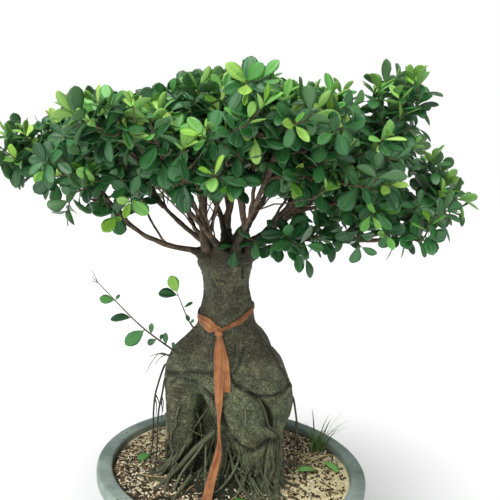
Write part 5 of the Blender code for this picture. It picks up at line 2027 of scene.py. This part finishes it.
def make_fallen_leaves(kit, finish):
    """The leaves on the soil: those of the CAD, and a few smaller ones beside and behind."""
    foliage = Foliage(29)
    rng = foliage.rng
    names = [name for name in NODES if name.startswith("fallen_leaf")]
    for name in names:
        low, high = BOXES[name]
        turn = 1 if high.y - low.y < 0.03 else -1
        grow = Vector((high.x - low.x, (high.y - low.y) * turn, 0.003))
        start = Vector((low.x, low.y if turn > 0 else high.y, high.z + 0.0022))
        foliage.leaf(start, grow, (0.05, -0.12, 1), 0.044, rng.uniform(0.30, 0.45))
    loose = ((0.01, -0.178, 0.05), (-0.16, 0.02, 0.6), (0.06, 0.17, 0.4), (-0.08, 0.16, 0.2))
    for x, y, age in loose:
        level = float(soil_level(x, y)) + 0.004
        grow = (rng.normal(), rng.normal(), 0.1)
        foliage.leaf((x, y, level), grow, (0.1, -0.2, 1), LOOSE_LEAF, age)
    piece = set_out("fallen_leaves", kit, finish, foliage.spots())
    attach(piece, "root")
    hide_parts(*names)


def make_straws():
    """The two straws of the CAD and some shorter ones round the stock."""
    rng = np.random.default_rng(14)
    names = ("straw_long", "straw_short")
    lines = []
    for name, falls in zip(names, (1, -1)):
        low, high = BOXES[name]
        a = np.array((low.x, low.y if falls > 0 else high.y, high.z + 0.0015, 0.0012))
        b = np.array((high.x, high.y if falls > 0 else low.y, high.z + 0.0045, 0.0009))
        middle = (a + b) / 2 + (0, 0.002, 0.002, 0)
        lines.append((smooth_line([a, middle, b], 14), 0.5))
    for _ in range(LOOSE_STRAWS):
        spread, angle = rng.uniform(0.09, 0.20), rng.uniform(0, 2 * math.pi)
        x, y = spread * math.cos(angle), spread * math.sin(angle)
        heading = rng.uniform(0, 2 * math.pi)
        half = rng.uniform(0.008, 0.017)
        level = float(soil_level(x, y)) + 0.003
        reach = np.array((math.cos(heading), math.sin(heading), rng.normal(0, 0.06))) * half
        middle = np.array((x, y, level))
        start, bend, end = middle - reach, middle + (0, 0, 0.001), middle + reach
        lines.append((smooth_line([(*start, 0.0007), (*bend, 0.0008), (*end, 0.0006)], 8), 0.5))
    finish = chip_finish("straw_stem", rgb(150, 120, 70), rgb(226, 202, 142), 0.7)
    piece = grow_tubes("straws", lines, finish, sides=6)
    store(piece.data, "tint", np.full(len(piece.data.vertices), 0.6))
    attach(piece, "root")
    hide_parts(*names)


def make_grass():
    """A tuft of narrow, arching blades."""
    rng = np.random.default_rng(6)
    low, high = BOXES["grass_tuft"]
    middle = (low + high) / 2
    points, faces, along_all, tints = [], [], [], []
    rings = 12
    for k in range(LONG_BLADES + SHORT_BLADES):
        turn = rng.uniform(0, 2 * math.pi)
        lean = rng.uniform(0.25, 0.95)
        length = rng.uniform(*((0.050, 0.104) if k < LONG_BLADES else (0.020, 0.034)))
        foot = Vector((middle.x + rng.normal(0, 0.007), middle.y + rng.normal(0, 0.006), 0))
        foot.z = float(soil_level(foot.x, foot.y)) - 0.003
        way = Vector((math.cos(turn), math.sin(turn), 0))
        side = Vector((-way.y, way.x, 0))
        first = len(points)
        place = foot.copy()
        tint = rng.random()
        for ring in range(rings):
            t = ring / (rings - 1)
            bend = lean * (0.25 + 1.35 * t)
            heading = way * math.sin(bend) + UP * math.cos(bend)
            half = 0.0017 * (1 - t**2.2) * min(1, 0.5 + 2 * t) + 0.00012
            normal = heading.cross(side)
            for corner in (side * half, normal * 0.0002 - side * half * 0.05, -side * half):
                points.append(place + corner)
            points.append(place - normal * 0.0002)
            along_all.extend([t] * 4)
            tints.extend([tint] * 4)
            place = place + heading * length / (rings - 1)
        for ring in range(rings - 1):
            for c in range(4):
                a = first + ring * 4 + c
                b = first + ring * 4 + (c + 1) % 4
                faces.append((a, b, b + 4, a + 4))
        faces.append(tuple(first + c for c in (3, 2, 1, 0)))
        faces.append(tuple(first + (rings - 1) * 4 + c for c in range(4)))
    attributes = {"along": along_all, "tint": tints}
    grass = from_arrays("grass_blades", points, faces, grass_finish(), attributes)
    cleaned(grass.data)
    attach(grass, "root")
    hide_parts("grass_tuft")


# ---------------------------------------------------------------- the whole plant

make_camera()
make_lights()
make_floor()
make_tub()
make_soil()
fig_limbs = read_limbs()
finished_stock = make_stock(fig_limbs)
make_roots(finished_stock)
shoots, shoot_ways, leafy = shoot_sites(np.random.default_rng(2))
fig_twigs = make_limbs(fig_limbs, shoots, shoot_ways)
leaf_kit = leaf_shapes()
gloss = leaf_finish()
make_crown(leaf_kit, gloss, fig_twigs[:leafy], fig_twigs[leafy:])
make_shoulder_shoots(leaf_kit, gloss)
make_tie(finished_stock)
make_litter()
make_fallen_leaves(leaf_kit, gloss)
make_straws()
make_grass()
